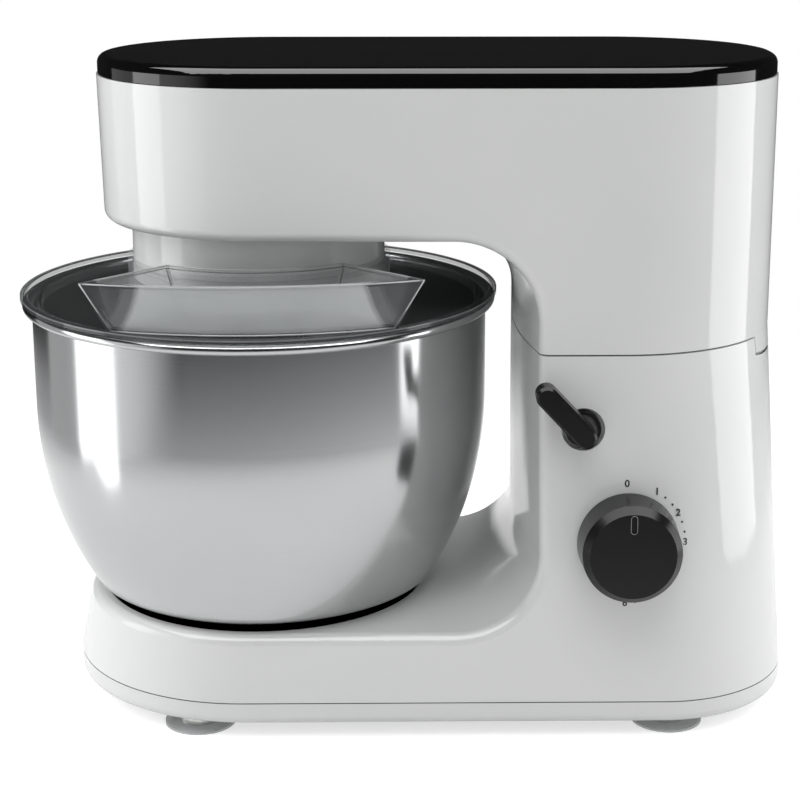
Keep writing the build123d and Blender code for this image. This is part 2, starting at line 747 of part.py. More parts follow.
# Bayonet plate on the floor of the bowl recess: a ring with three hooked arcs
HOOK_WALL_R = LUG_R + SEAT_PLAY
HOOK_LOW = LUG_Z + LUG_T + LIFT
with BuildPart() as bayonet_plate:
    with BuildSketch(Plane.XY.offset(SEAT_FLOOR_Z)):
        with Locations((BOWL_X, 0)):
            Circle(SEAT_R - SNUG)
            Circle(SEAT_RING_R, mode=Mode.SUBTRACT)
    extrude(amount=SEAT_RING_T)
    with BuildSketch(Plane.XY.offset(SEAT_FLOOR_Z)):
        with Locations((BOWL_X, 0)):
            for step in range(LUG_COUNT):
                add(ring_sector(HOOK_WALL_R, SEAT_R - SNUG, 360 / LUG_COUNT * step, HOOK_ARC))
    extrude(amount=HOOK_TOP - SEAT_FLOOR_Z)
    with BuildSketch(Plane.XY.offset(HOOK_LOW)):
        with Locations((BOWL_X, 0)):
            for step in range(LUG_COUNT):
                add(ring_sector(SPIGOT_R + SEAT_PLAY, SEAT_R - SNUG, 360 / LUG_COUNT * step, HOOK_ARC))
    extrude(amount=HOOK_TOP - HOOK_LOW)
    with BuildSketch(Plane.XY.offset(SEAT_FLOOR_Z)):
        with Locations((BOWL_X, 0)):
            with PolarLocations(SEAT_SCREW_R, LUG_COUNT, start_angle=SEAT_SCREW_TURN):
                Circle(SCREW_R + FIT)
    extrude(amount=SEAT_RING_T, mode=Mode.SUBTRACT)

# Small screws under the bayonet plate, driven up from inside the base
with BuildPart() as seat_screws:
    with BuildSketch(Plane.XY.offset(SEAT_FLOOR_Z - WALL - SEAT_RING_T)):
        with Locations((BOWL_X, 0)):
            with PolarLocations(SEAT_SCREW_R, LUG_COUNT, start_angle=SEAT_SCREW_TURN):
                Circle(SCREW_HEAD_R)
    extrude(amount=SEAT_RING_T)
    with BuildSketch(Plane.XY.offset(SEAT_FLOOR_Z - WALL)):
        with Locations((BOWL_X, 0)):
            with PolarLocations(SEAT_SCREW_R, LUG_COUNT, start_angle=SEAT_SCREW_TURN):
                Circle(SCREW_R)
    extrude(amount=WALL + SEAT_RING_T)

# Steel bowl: rolled rim, upright wall, swelling side and a rounded knee to the floor
SIDE_X = BOWL_R - BOWL_SIDE_R
KNEE_Z = BOWL_LOW + BOWL_KNEE_R
KNEE_X = SIDE_X + (BOWL_SIDE_R - BOWL_KNEE_R) * cos(radians(BOWL_SIDE_ARC))
BOWL_SIDE_Z = KNEE_Z + (BOWL_SIDE_R - BOWL_KNEE_R) * sin(radians(BOWL_SIDE_ARC))
with BuildPart() as bowl:
    with BuildSketch(BOWL_PLANE):
        with BuildLine():
            Line((0, BOWL_LOW), (KNEE_X, BOWL_LOW))
            CenterArc((KNEE_X, KNEE_Z), BOWL_KNEE_R, -90, 90 - BOWL_SIDE_ARC)
            CenterArc((SIDE_X, BOWL_SIDE_Z), BOWL_SIDE_R, -BOWL_SIDE_ARC, BOWL_SIDE_ARC)
            Line((BOWL_R, BOWL_SIDE_Z), (BOWL_R, RIM_Z))
            Line((BOWL_R, RIM_Z), (BOWL_R - BOWL_WALL, RIM_Z))
            Line((BOWL_R - BOWL_WALL, RIM_Z), (BOWL_R - BOWL_WALL, BOWL_SIDE_Z))
            CenterArc((SIDE_X, BOWL_SIDE_Z), BOWL_SIDE_R - BOWL_WALL, -BOWL_SIDE_ARC, BOWL_SIDE_ARC)
            CenterArc((KNEE_X, KNEE_Z), BOWL_KNEE_R - BOWL_WALL, -90, 90 - BOWL_SIDE_ARC)
            Line((KNEE_X, BOWL_LOW + BOWL_WALL), (0, BOWL_LOW + BOWL_WALL))
            Line((0, BOWL_LOW + BOWL_WALL), (0, BOWL_LOW))
        make_face()
        with Locations((RIM_R, RIM_Z)):
            Circle(RIM_ROLL)
    revolve(axis=BOWL_AXIS)

# Foot ring under the bowl: skirt above the deck, spigot below it, three bayonet lugs
SPIGOT_LOW = SEAT_FLOOR_Z + SEAT_RING_T + LIFT
with BuildPart() as bowl_foot:
    with BuildSketch(Plane.XY.offset(HOOK_TOP + LIFT)):
        with Locations((BOWL_X, 0)):
            Circle(BOWL_FOOT_R)
            Circle(SPIGOT_R - SPIGOT_T, mode=Mode.SUBTRACT)
    extrude(amount=BOWL_LOW - FIT - HOOK_TOP - LIFT)
    with BuildSketch(Plane.XY.offset(SPIGOT_LOW)):
        with Locations((BOWL_X, 0)):
            Circle(SPIGOT_R)
            Circle(SPIGOT_R - SPIGOT_T, mode=Mode.SUBTRACT)
    extrude(amount=HOOK_TOP + LIFT - SPIGOT_LOW)
    with BuildSketch(Plane.XY.offset(LUG_Z)):
        with Locations((BOWL_X, 0)):
            for step in range(LUG_COUNT):
                add(ring_sector(SPIGOT_R - SPIGOT_T / 2, LUG_R, 360 / LUG_COUNT * step, LUG_ARC))
    extrude(amount=LUG_T)

# Hinge bracket: a cast plate on four posts in the column, two ears for the pin
with BuildPart() as hinge_bracket:
    with BuildSketch(Plane.XY.offset(BRACKET_Z)):
        with Locations(((BRACKET_FRONT + BRACKET_STEP) / 2, 0)):
            Rectangle(BRACKET_STEP - BRACKET_FRONT, 2 * BRACKET_HALF)
        with Locations(((BRACKET_FRONT + BRACKET_REAR) / 2, 0)):
            Rectangle(BRACKET_REAR - BRACKET_FRONT, 2 * BRACKET_NARROW)
        with Locations(((LEVER_X + CATCH_X) / 2, HOOK_Y)):
            Rectangle(CATCH_X - LEVER_X + SLOT_ROOM, 2 * CATCH_HALF + SLOT_PLAY, mode=Mode.SUBTRACT)
        with Locations(*SHELVES):
            Circle(SCREW_R + FIT, mode=Mode.SUBTRACT)
    extrude(amount=BRACKET_T)
    for side in (EAR_IN, -EAR_OUT):
        with BuildSketch(Plane.XZ.offset(side)):
            with BuildLine():
                Polyline((BRACKET_REAR - EAR_FOOT, BRACKET_Z), (BRACKET_REAR, BRACKET_Z),
                         (HINGE_X, HINGE_Z - EYE_R), (HINGE_X, HINGE_Z + EYE_R), close=True)
            make_face()
            with Locations((HINGE_X, HINGE_Z)):
                Circle(EYE_R)
                Circle(HINGE_PIN_R + HINGE_BUSH_T + FIT, mode=Mode.SUBTRACT)
        extrude(amount=EAR_OUT - EAR_IN)

# Screws that hold the hinge bracket on its posts
with BuildPart() as bracket_screws:
    with BuildSketch(Plane.XY.offset(BRACKET_Z + BRACKET_T)):
        with Locations(*SHELVES):
            Circle(SCREW_HEAD_R)
    extrude(amount=SCREW_HEAD_T)
    with BuildSketch(Plane.XY.offset(BRACKET_Z + BRACKET_T)):
        with Locations(*SHELVES):
            Circle(SCREW_R)
    extrude(amount=SNUG - BRACKET_T - SCREW_DEPTH)

# Bronze bushes in the ears
with BuildPart() as hinge_bushes:
    for side in (EAR_IN, -EAR_OUT):
        with BuildSketch(Plane.XZ.offset(side)):
            with Locations((HINGE_X, HINGE_Z)):
                Circle(HINGE_PIN_R + HINGE_BUSH_T)
                Circle(HINGE_PIN_R + RUNNING, mode=Mode.SUBTRACT)
        extrude(amount=EAR_OUT - EAR_IN)

# Steel pin, fixed in the saddle's arms and turning in the bushes
with BuildPart() as hinge_pin:
    with BuildSketch(Plane.XZ.offset(-PIN_END)):
        with Locations((HINGE_X, HINGE_Z)):
            Circle(HINGE_PIN_R)
    extrude(amount=2 * PIN_END)

# Interlock switch on the hinge bracket, with a plunger that the head's floor holds down
HEAD_LOW = SEAM_Z + PARTING / 2
FLOOR_Z = HEAD_LOW + SEAM_LINE
PLUNGER_LOW = BRACKET_Z + BRACKET_T + PLUNGER_SEAT
with BuildPart() as interlock_switch:
    with BuildSketch(Plane.XY.offset(BRACKET_Z + BRACKET_T)):
        with Locations((INTERLOCK_X, INTERLOCK_Y)):
            Rectangle(INTERLOCK_W, INTERLOCK_D)
    extrude(amount=INTERLOCK_H)
    with BuildSketch(Plane.XY.offset(PLUNGER_LOW - SNUG)):
        with Locations((INTERLOCK_X, INTERLOCK_Y)):
            Circle(PLUNGER_R + RUNNING)
    extrude(amount=INTERLOCK_H, mode=Mode.SUBTRACT)
with BuildPart() as interlock_plunger:
    with BuildSketch(Plane.XY.offset(PLUNGER_LOW)):
        with Locations((INTERLOCK_X, INTERLOCK_Y)):
            Circle(PLUNGER_R)
    extrude(amount=FLOOR_Z - SEAM_LINE - PLUNGER_LOW)

# Release lever: round hub in the side wall, a tapering neck and a rounded thumb bar across its end
with BuildPart() as release_lever:
    with BuildSketch(LEVER_PLANE.offset(LEVER_WALL - LEVER_SINK + LEVER_GAP)):
        Circle(LEVER_BOSS_R)
    extrude(amount=LEVER_FLUSH - LEVER_WALL + LEVER_SINK - LEVER_GAP)
    with BuildSketch(LEVER_PLANE.offset(LEVER_FLUSH)):
        Circle(LEVER_NECK_R)
    with BuildSketch(LEVER_PLANE.offset(LEVER_OUT - LEVER_T)):
        Circle(LEVER_W / 2)
    loft()
    with BuildSketch(LEVER_PLANE.offset(LEVER_OUT - LEVER_T)):
        with Locations(Location((0, 0, 0), (0, 0, LEVER_ANGLE))):
            with Locations((LEVER_LEN / 2 - LEVER_W / 2, 0)):
                SlotOverall(LEVER_LEN, LEVER_W)
    extrude(amount=LEVER_T)
    chamfer(release_lever.faces().sort_by(Axis.Y)[0].edges(), LEVER_CHAMFER)
    with BuildSketch(LEVER_PLANE):
        Circle(LEVER_SHAFT_R + FIT)
    extrude(amount=LEVER_OUT - LEVER_T / 2, mode=Mode.SUBTRACT)

# Steel shaft of the lever and the bush it turns in
with BuildPart() as lever_shaft:
    with BuildSketch(LEVER_PLANE.offset(SHAFT_TAIL)):
        Circle(LEVER_SHAFT_R)
    extrude(amount=LEVER_OUT - LEVER_T / 2 - SNUG - SHAFT_TAIL)
with BuildPart() as lever_bush:
    with BuildSketch(LEVER_PLANE.offset(BUSH_IN)):
        Circle(BUSH_R)
        Circle(LEVER_SHAFT_R + RUNNING, mode=Mode.SUBTRACT)
    extrude(amount=LEVER_WALL - LEVER_SINK - BUSH_IN)

# Latch hook on the lever shaft: collar, arm and a nose that points at the catch
NOSE_X = CATCH_X - CATCH_R - NOSE_GAP - LEVER_X
with BuildPart() as latch_hook:
    with BuildSketch(LEVER_PLANE.offset(-HOOK_Y - HOOK_T / 2)):
        Circle(LEVER_SHAFT_R + WALL)
        with Locations((HOOK_SET, HOOK_RISE / 2)):
            Rectangle(HOOK_W, HOOK_RISE)
        with Locations((NOSE_X / 2, HOOK_RISE)):
            Rectangle(NOSE_X, NOSE_T)
        Circle(LEVER_SHAFT_R + FIT, mode=Mode.SUBTRACT)
    extrude(amount=HOOK_T)

# Return spring round the end of the lever shaft
SPRING_R = LEVER_SHAFT_R + SPRING_GAP + SPRING_WIRE
SPRING_LEN = SPRING_TURNS * SPRING_PITCH
with BuildPart() as lever_spring:
    with BuildLine() as coil:
        Helix(SPRING_PITCH, SPRING_LEN, SPRING_R, center=(LEVER_X, HOOK_Y + HOOK_T, LEVER_Z),
              direction=(0, 1, 0))
    with BuildSketch(Plane(origin=coil.line @ 0, z_dir=coil.line % 0)):
        Circle(SPRING_WIRE)
    sweep()

# Speed knob: plain tapering side, wide chamfer and a sunk pointer slot on its face
POINTER_Y = KNOB_FACE_R - POINTER_EDGE - POINTER_LEN / 2
with BuildPart() as speed_knob:
    with BuildSketch(KNOB_PLANE.offset(KNOB_GAP)):
        Circle(KNOB_BASE_R)
    with BuildSketch(KNOB_PLANE.offset(KNOB_GAP + KNOB_SIDE)):
        Circle(KNOB_SHOULDER_R)
    with BuildSketch(KNOB_PLANE.offset(KNOB_GAP + KNOB_H)):
        Circle(KNOB_FACE_R)
    loft(ruled=True)
    with BuildSketch(KNOB_PLANE.offset(KNOB_GAP + KNOB_H - POINTER_DEEP)):
        with Locations(Location((0, POINTER_Y, 0), (0, 0, POINTER_TURN))):
            SlotOverall(POINTER_LEN, POINTER_W)
    extrude(amount=KNOB_H, mode=Mode.SUBTRACT)
    with BuildSketch(KNOB_PLANE):
        Circle(SPINDLE_R + FIT)
    extrude(amount=KNOB_H / 2, mode=Mode.SUBTRACT)

# Switch spindle, and the rotary switch behind the wall
with BuildPart() as switch_spindle:
    with BuildSketch(KNOB_PLANE.offset(-WALL - SWITCH_D / 2)):
        Circle(SPINDLE_R)
    extrude(amount=WALL + SWITCH_D / 2 + KNOB_H / 2 - SNUG)
with BuildPart() as speed_switch:
    with BuildSketch(KNOB_PLANE.offset(-WALL - SNUG)):
        RectangleRounded(SWITCH_W, SWITCH_W, WALL)
    extrude(amount=-SWITCH_D)
    with BuildSketch(KNOB_PLANE.offset(-WALL - SWITCH_D / 2)):
        Circle(SWITCH_NOSE_R)
    extrude(amount=WALL + SWITCH_D / 2)
    with BuildSketch(KNOB_PLANE.offset(-WALL - SWITCH_D / 2 - SNUG)):
        Circle(SPINDLE_R + RUNNING)
    extrude(amount=SWITCH_D, mode=Mode.SUBTRACT)

# Control board on the column's front wall, with heat sink, capacitor and terminal block
with BuildPart() as control_board:
    with BuildSketch(Plane.YZ.offset(BOARD_FACE)):
        with Locations((BOARD_Y, BOARD_Z)):
            Rectangle(BOARD_W, BOARD_H)
    extrude(amount=BOARD_T)
with BuildPart() as board_parts:
    with BuildSketch(Plane.YZ.offset(BOARD_FACE + BOARD_T)):
        with Locations((BOARD_Y + SINK_Y, BOARD_Z)):
            Rectangle(SINK_W, SINK_H)
    extrude(amount=SINK_W)
    with BuildSketch(Plane.YZ.offset(BOARD_FACE + BOARD_T)):
        with Locations((BOARD_Y + CAPACITOR_Y, BOARD_Z + CAPACITOR_Z)):
            Circle(CAPACITOR_R)
    extrude(amount=CAPACITOR_H)
    with BuildSketch(Plane.YZ.offset(BOARD_FACE + BOARD_T)):
        with Locations((BOARD_Y + TERMINAL_Y, BOARD_Z + TERMINAL_Z)):
            Rectangle(TERMINAL_W, TERMINAL_H)
    extrude(amount=TERMINAL_H)

# Cord gland in the rear wall of the base, flanged inside, with a wide mouth and a narrow grip
with BuildPart() as cord_gland:
    with BuildSketch(GLAND_PLANE.offset(SNUG)):
        Circle(GLAND_R)
    extrude(amount=GLAND_LEN)
    with BuildSketch(GLAND_PLANE.offset(WALL + 2 * SEAM_LINE)):
        Circle(GLAND_FLANGE_R)
    extrude(amount=WALL)
    with BuildSketch(GLAND_PLANE):
        Circle(GLAND_BORE_R)
    extrude(amount=2 * GLAND_LEN, mode=Mode.SUBTRACT)
    with BuildSketch(GLAND_PLANE):
        Circle(GLAND_MOUTH_R)
    extrude(amount=SNUG + GLAND_MOUTH, mode=Mode.SUBTRACT)

# Hollow inside the head
with BuildPart() as head_hollow:
    with BuildSketch(Plane.XY.offset(HEAD_LOW)):
        add(head_plan(HEAD_LOW, WALL))
    with BuildSketch(Plane.XY.offset(COVER_Z)):
        add(head_plan(COVER_Z, WALL))
    loft(ruled=True)
    add(bowl_gap(WALL), mode=Mode.SUBTRACT)

# Tongue that closes the rear of the column below the head's seam and turns in the knuckle seat
TONGUE_LOW = HINGE_Z - KNUCKLE_MID
with BuildPart() as tongue:
    with BuildSketch(Plane.XY.offset(TONGUE_LOW)):
        add(stand_plan(TONGUE_LOW))
    with BuildSketch(Plane.XY.offset(HEAD_LOW)):
        add(head_plan(HEAD_LOW))
    loft(ruled=True)
    with BuildSketch(Plane.XY.offset(TONGUE_LOW)):
        add(stand_plan(TONGUE_LOW, WALL))
    with BuildSketch(Plane.XY.offset(HEAD_LOW)):
        add(head_plan(HEAD_LOW, WALL))
    loft(ruled=True, mode=Mode.SUBTRACT)
    add(knuckle(PARTING), mode=Mode.INTERSECT)

# Head: white tub with the neck hole in its underside, open at the top and over the column
FRAME_SCREWS = [(BOWL_X + sx * NECK_SCREW_XY, sy * NECK_SCREW_XY) for sx in (-1, 1) for sy in (-1, 1)]
with BuildPart() as head_shell:
    with BuildSketch(Plane.XY.offset(HEAD_LOW)):
        add(head_plan(HEAD_LOW))
    with BuildSketch(Plane.XY.offset(COVER_Z)):
        add(head_plan(COVER_Z))
    loft(ruled=True)
    add(bowl_gap(), mode=Mode.SUBTRACT)
    brim = head_shell.edges().filter_by(
        lambda e: abs(e.center().Y) > BASE_CORNER / 3 and e.center().X < COLUMN_X + EDGE_R
        and HEAD_LOW + EDGE_R < e.center().Z < ARCH_Z + EDGE_R)
    fillet(brim, EDGE_R)
    add(head_hollow.part, mode=Mode.SUBTRACT)
    with BuildSketch(Plane.XY.offset(ARCH_Z)):
        with Locations((BOWL_X, 0)):
            Circle(NECK_R + SNUG)
    extrude(amount=WALL, mode=Mode.SUBTRACT)
    with BuildSketch(Plane.XY.offset(ARCH_Z + WALL)):
        with Locations(*FRAME_SCREWS):
            Circle(SCREW_R + FIT)
    extrude(amount=-WALL / 2, mode=Mode.SUBTRACT)
    add(tongue.part)

# Gloss black cover with a locating lip inside the tub
with BuildPart() as top_cover:
    with BuildSketch(Plane.XY.offset(COVER_Z + SEAM_LINE)):
        add(head_plan(COVER_Z, COVER_STEP))
    extrude(amount=COVER_H - SEAM_LINE)
    fillet(top_cover.edges().group_by(Axis.Z)[-1], COVER_EDGE_R)
    with BuildSketch(Plane.XY.offset(COVER_Z)):
        add(head_plan(COVER_Z, 2 * WALL))
    extrude(amount=COVER_H - WALL, mode=Mode.SUBTRACT)
    with BuildSketch(Plane.XY.offset(COVER_Z + WALL)):
        add(head_plan(COVER_Z, WALL + SNUG))
        add(head_plan(COVER_Z, 2 * WALL), mode=Mode.SUBTRACT)
    extrude(amount=-2 * WALL)

# Floor of the head over the column
with BuildPart() as head_floor:
    with BuildSketch(Plane.XY.offset(FLOOR_Z)):
        add(head_plan(FLOOR_Z, WALL + SNUG))
        with Locations((FLOOR_REAR, 0)):
            Rectangle(REACH, REACH, align=(Align.MAX, Align.CENTER), mode=Mode.INTERSECT)
    extrude(amount=WALL)
    add(bowl_gap(WALL + SEAM_LINE), mode=Mode.SUBTRACT)

# Saddle on the floor: its two arms reach back and hold the hinge pin
SADDLE_Z = FLOOR_Z + WALL
with BuildPart() as hinge_saddle:
    with BuildSketch(Plane.XY.offset(SADDLE_Z)):
        with Locations(((SADDLE_FRONT + HINGE_X) / 2, 0)):
            Rectangle(HINGE_X - SADDLE_FRONT, 2 * EAR_OUT)
    extrude(amount=SADDLE_T)
    for side in (ARM_IN, PARTING / 2 - EAR_IN):
        with BuildSketch(Plane.XZ.offset(side)):
            with BuildLine():
                Polyline((FLOOR_REAR + SEAM_LINE, SADDLE_Z), (HINGE_X - EYE_R, HINGE_Z),
                         (HINGE_X + EYE_R, HINGE_Z), (HINGE_X + EYE_R, SADDLE_Z + SADDLE_T),
                         (FLOOR_REAR + SEAM_LINE, SADDLE_Z + SADDLE_T), close=True)
            make_face()
            with Locations((HINGE_X, HINGE_Z)):
                Circle(EYE_R)
                Circle(HINGE_PIN_R + FIT, mode=Mode.SUBTRACT)
        extrude(amount=EAR_IN - PARTING / 2 - ARM_IN)

# Catch under the floor: two cheeks and the bar that the hook's nose holds
with BuildPart() as latch_catch:
    with BuildSketch(Plane.XY.offset(FLOOR_Z)):
        with Locations((CATCH_X, HOOK_Y)):
            Rectangle(CATCH_PAD, 2 * CATCH_HALF)
    extrude(amount=-CATCH_T)
    for side in (-HOOK_Y - CATCH_HALF, -HOOK_Y + CATCH_HALF - CATCH_T):
        with BuildSketch(Plane.XZ.offset(side)):
            with Locations((CATCH_X, (FLOOR_Z + CATCH_Z) / 2)):
                Rectangle(2 * CATCH_R + CATCH_T, FLOOR_Z - CATCH_Z)
            with Locations((CATCH_X, CATCH_Z)):
                Circle(CATCH_R + CATCH_T / 2)
        extrude(amount=CATCH_T)
    with BuildSketch(Plane.XZ.offset(-HOOK_Y - CATCH_HALF)):
        with Locations((CATCH_X, CATCH_Z)):
            Circle(CATCH_R)
    extrude(amount=2 * CATCH_HALF)

# Neck: white collar through the head's underside, grooved for the splash guard
NECK_IN = NECK_R - NECK_WALL
with BuildPart() as neck_collar:
    with BuildSketch(Plane.XY.offset(NECK_Z)):
        with Locations((BOWL_X, 0)):
            Circle(NECK_R)
            Circle(NECK_IN, mode=Mode.SUBTRACT)
    extrude(amount=FRAME_Z - NECK_Z)
    with BuildSketch(Plane.XY.offset(ARCH_Z + WALL)):
        with Locations((BOWL_X, 0)):
            Circle(NECK_FLANGE)
            Circle(NECK_IN, mode=Mode.SUBTRACT)
        with Locations(*FRAME_SCREWS):
            Circle(SCREW_R + FIT, mode=Mode.SUBTRACT)
    extrude(amount=FRAME_Z - ARCH_Z - WALL)
    with BuildSketch(Plane.XY.offset(GROOVE_Z - GROOVE_H / 2)):
        with Locations((BOWL_X, 0)):
            Circle(NECK_R + WALL)
            Circle(NECK_R - GROOVE_D, mode=Mode.SUBTRACT)
    extrude(amount=GROOVE_H, mode=Mode.SUBTRACT)

# Fixed ring gear in the neck
with BuildPart() as ring_gear:
    with BuildSketch(Plane.XY.offset(RING_Z)):
        with Locations((BOWL_X, 0)):
            Circle(NECK_IN - SNUG)
            add(gear_outline(RING_TEETH, PLANET_MODULE, BACKLASH, 0, inside=True), mode=Mode.SUBTRACT)
    extrude(amount=RING_T)


def chute_plan(half, arc, inset=0.0):
    """Outline of the pouring chute at a height: round back, slanting sides and a gently bowed front."""
    back_x = CHUTE_BACK_R * sin(radians(arc))
    back_y = -CHUTE_BACK_R * cos(radians(arc))
    with BuildSketch() as outline:
        with BuildLine():
            ThreePointArc((-back_x, back_y), (0, -CHUTE_BACK_R), (back_x, back_y))
            Line((back_x, back_y), (half, -CHUTE_CORNER))
            ThreePointArc((half, -CHUTE_CORNER), (0, -CHUTE_FRONT), (-half, -CHUTE_CORNER))
            Line((-half, -CHUTE_CORNER), (-back_x, back_y))
        make_face()
        if inset:
            offset(amount=-inset)
    return outline.sketch


# Clear splash guard: collar with a snap bead, flat ring over the rim, lip and pouring chute
GUARD_IN = NECK_R + GUARD_GAP
CHUTE_SPOT = Location((BOWL_X, 0, 0), (0, 0, CHUTE_TURN))
with BuildPart() as splash_guard:
    with BuildSketch(Plane.XY.offset(GUARD_Z)):
        with Locations((BOWL_X, 0)):
            Circle(GUARD_R)
            Circle(GUARD_IN, mode=Mode.SUBTRACT)
    extrude(amount=GUARD_T)
    with BuildSketch(Plane.XY.offset(GUARD_Z)):
        with Locations((BOWL_X, 0)):
            Circle(GUARD_IN + GUARD_T)
            Circle(GUARD_IN, mode=Mode.SUBTRACT)
    extrude(amount=COLLAR_TOP - GUARD_Z)
    with BuildSketch(Plane.XY.offset(GROOVE_Z - GROOVE_H / 2 + BEAD_GAP)):
        with Locations((BOWL_X, 0)):
            Circle(GUARD_IN + GUARD_T)
            Circle(NECK_R - GROOVE_D + BEAD_GAP, mode=Mode.SUBTRACT)
    extrude(amount=GROOVE_H - 2 * BEAD_GAP)
    with BuildSketch(Plane.XY.offset(GUARD_Z)):
        with Locations((BOWL_X, 0)):
            Circle(LIP_R)
            Circle(LIP_R - GUARD_T, mode=Mode.SUBTRACT)
    extrude(amount=-LIP_DROP)
    with BuildSketch(Plane.XY.offset(GUARD_Z)):
        with Locations(CHUTE_SPOT):
            add(chute_plan(CHUTE_LOW_HALF, CHUTE_LOW_ARC))
    with BuildSketch(Plane.XY.offset(CHUTE_TOP)):
        with Locations(CHUTE_SPOT):
            add(chute_plan(CHUTE_TOP_HALF, CHUTE_TOP_ARC))
    loft(ruled=True)
    with BuildSketch(Plane.XY.offset(GUARD_Z)):
        with Locations(CHUTE_SPOT):
            add(chute_plan(CHUTE_LOW_HALF, CHUTE_LOW_ARC, GUARD_T))
    with BuildSketch(Plane.XY.offset(CHUTE_TOP)):
        with Locations(CHUTE_SPOT):
            add(chute_plan(CHUTE_TOP_HALF, CHUTE_TOP_ARC, GUARD_T))
    loft(ruled=True, mode=Mode.SUBTRACT)
    with BuildSketch(Plane.XY.offset(GUARD_Z)):
        with Locations(CHUTE_SPOT):
            add(ring_sector(CHUTE_BACK_R + GUARD_T, LIP_R + GUARD_T, CHUTE_MIDDLE, CHUTE_MOUTH_ARC))
    extrude(amount=-LIP_DROP, mode=Mode.SUBTRACT)

# Cast gearbox frame on the neck flange, with bosses for the lower bearings
with BuildPart() as gearbox_frame:
    with BuildSketch(Plane.XY.offset(FRAME_Z)):
        with Locations((BOWL_X, 0)):
            Circle(NECK_FLANGE)
        with Locations(((BOWL_X + FRAME_REAR) / 2, 0)):
            RectangleRounded(FRAME_REAR - BOWL_X, 2 * FRAME_HALF, BEARING_R)
    extrude(amount=FRAME_T)
    with BuildSketch(Plane.XY.offset(FRAME_Z)):
        with Locations((BOWL_X, 0), (LAYSHAFT_X, 0)):
            Circle(BEARING_BOSS_R)
    extrude(amount=BEARING_T)
    with BuildSketch(Plane.XY.offset(FRAME_Z)):
        with Locations((BOWL_X, 0), (LAYSHAFT_X, 0)):
            Circle(BEARING_R + FIT)
        with Locations(*FRAME_SCREWS):
            Circle(SCREW_R + FIT)
    extrude(amount=BEARING_T, mode=Mode.SUBTRACT)

# Screws through frame and neck flange into the head
with BuildPart() as frame_screws:
    with BuildSketch(Plane.XY.offset(FRAME_Z + FRAME_T)):
        with Locations(*FRAME_SCREWS):
            Circle(SCREW_HEAD_R)
    extrude(amount=SCREW_HEAD_T)
    with BuildSketch(Plane.XY.offset(FRAME_Z + FRAME_T)):
        with Locations(*FRAME_SCREWS):
            Circle(SCREW_R)
    extrude(amount=ARCH_Z + WALL / 2 + SNUG - FRAME_Z - FRAME_T)

# Bridge over the gears: plate on four legs, with the upper bearing seats
LEG_SPOTS = ((BOWL_X - LEG_FRONT, LEG_FRONT_Y), (BOWL_X + LEG_REAR, LEG_REAR_Y))
BRIDGE_LEGS = [(x, sy * y) for x, y in LEG_SPOTS for sy in (-1, 1)]
BRIDGE_LEN = LEG_FRONT + LEG_REAR + 2 * BRIDGE_EDGE
with BuildPart() as gearbox_bridge:
    with BuildSketch(Plane.XY.offset(BRIDGE_Z)):
        with Locations((BOWL_X + (LEG_REAR - LEG_FRONT) / 2, 0)):
            RectangleRounded(BRIDGE_LEN, 2 * (LEG_REAR_Y + BRIDGE_EDGE), 2 * BRIDGE_EDGE)
    extrude(amount=BRIDGE_T)
    with BuildSketch(Plane.XY.offset(FRAME_Z + FRAME_T)):
        with Locations(*BRIDGE_LEGS):
            Circle(LEG_R)
    extrude(amount=BRIDGE_Z - FRAME_Z - FRAME_T)
    with BuildSketch(Plane.XY.offset(BRIDGE_Z)):
        with Locations((BOWL_X, 0), (LAYSHAFT_X, 0)):
            Circle(BEARING_R + FIT)
    extrude(amount=BRIDGE_T, mode=Mode.SUBTRACT)

# Four sealed bearings: main shaft and layshaft, below and above
with BuildPart() as shaft_bearings:
    for x, radius in ((BOWL_X, SHAFT_R), (LAYSHAFT_X, LAYSHAFT_R)):
        for z, tall in ((FRAME_Z, BEARING_T), (BRIDGE_Z, BRIDGE_T)):
            with BuildSketch(Plane.XY.offset(z)):
                with Locations((x, 0)):
                    Circle(BEARING_R)
                    Circle(radius + RUNNING, mode=Mode.SUBTRACT)
            extrude(amount=tall)

# Main shaft with the main gear and the planet carrier
SHAFT_TOP = BRIDGE_Z + BRIDGE_T
with BuildPart() as main_shaft:
    with BuildSketch(Plane.XY.offset(CARRIER_Z)):
        with Locations((BOWL_X, 0)):
            Circle(SHAFT_R)
    extrude(amount=SHAFT_TOP - CARRIER_Z)
with BuildPart() as main_gear:
    with BuildSketch(Plane.XY.offset(SPUR_Z)):
        with Locations((BOWL_X, 0)):
            add(gear_outline(MAIN_TEETH, SPUR_MODULE, BACKLASH, 0))
            Circle(SHAFT_R + FIT, mode=Mode.SUBTRACT)
    extrude(amount=SPUR_T)
with BuildPart() as planet_carrier:
    with BuildSketch(Plane.XY.offset(CARRIER_Z)):
        with Locations((BOWL_X, 0)):
            Circle(NECK_IN - PARTING)
    extrude(amount=CARRIER_T)
    with BuildSketch(Plane.XY.offset(CARRIER_Z)):
        with Locations((BOWL_X, 0)):
            Circle(CARRIER_BOSS_R)
    extrude(amount=RING_Z + RING_T - CARRIER_Z)
    with BuildSketch(Plane.XY.offset(CARRIER_Z - CARRIER_T)):
        with Locations((TOOL_X, 0)):
            Circle(TOOL_BOSS_R)
    extrude(amount=TOOL_BOSS_H)
    with BuildSketch(Plane.XY.offset(CARRIER_Z - CARRIER_T)):
        with Locations((BOWL_X, 0)):
            Circle(SHAFT_R + FIT)
        with Locations((TOOL_X, 0)):
            Circle(SHAFT_R + RUNNING)
    extrude(amount=RING_Z, mode=Mode.SUBTRACT)

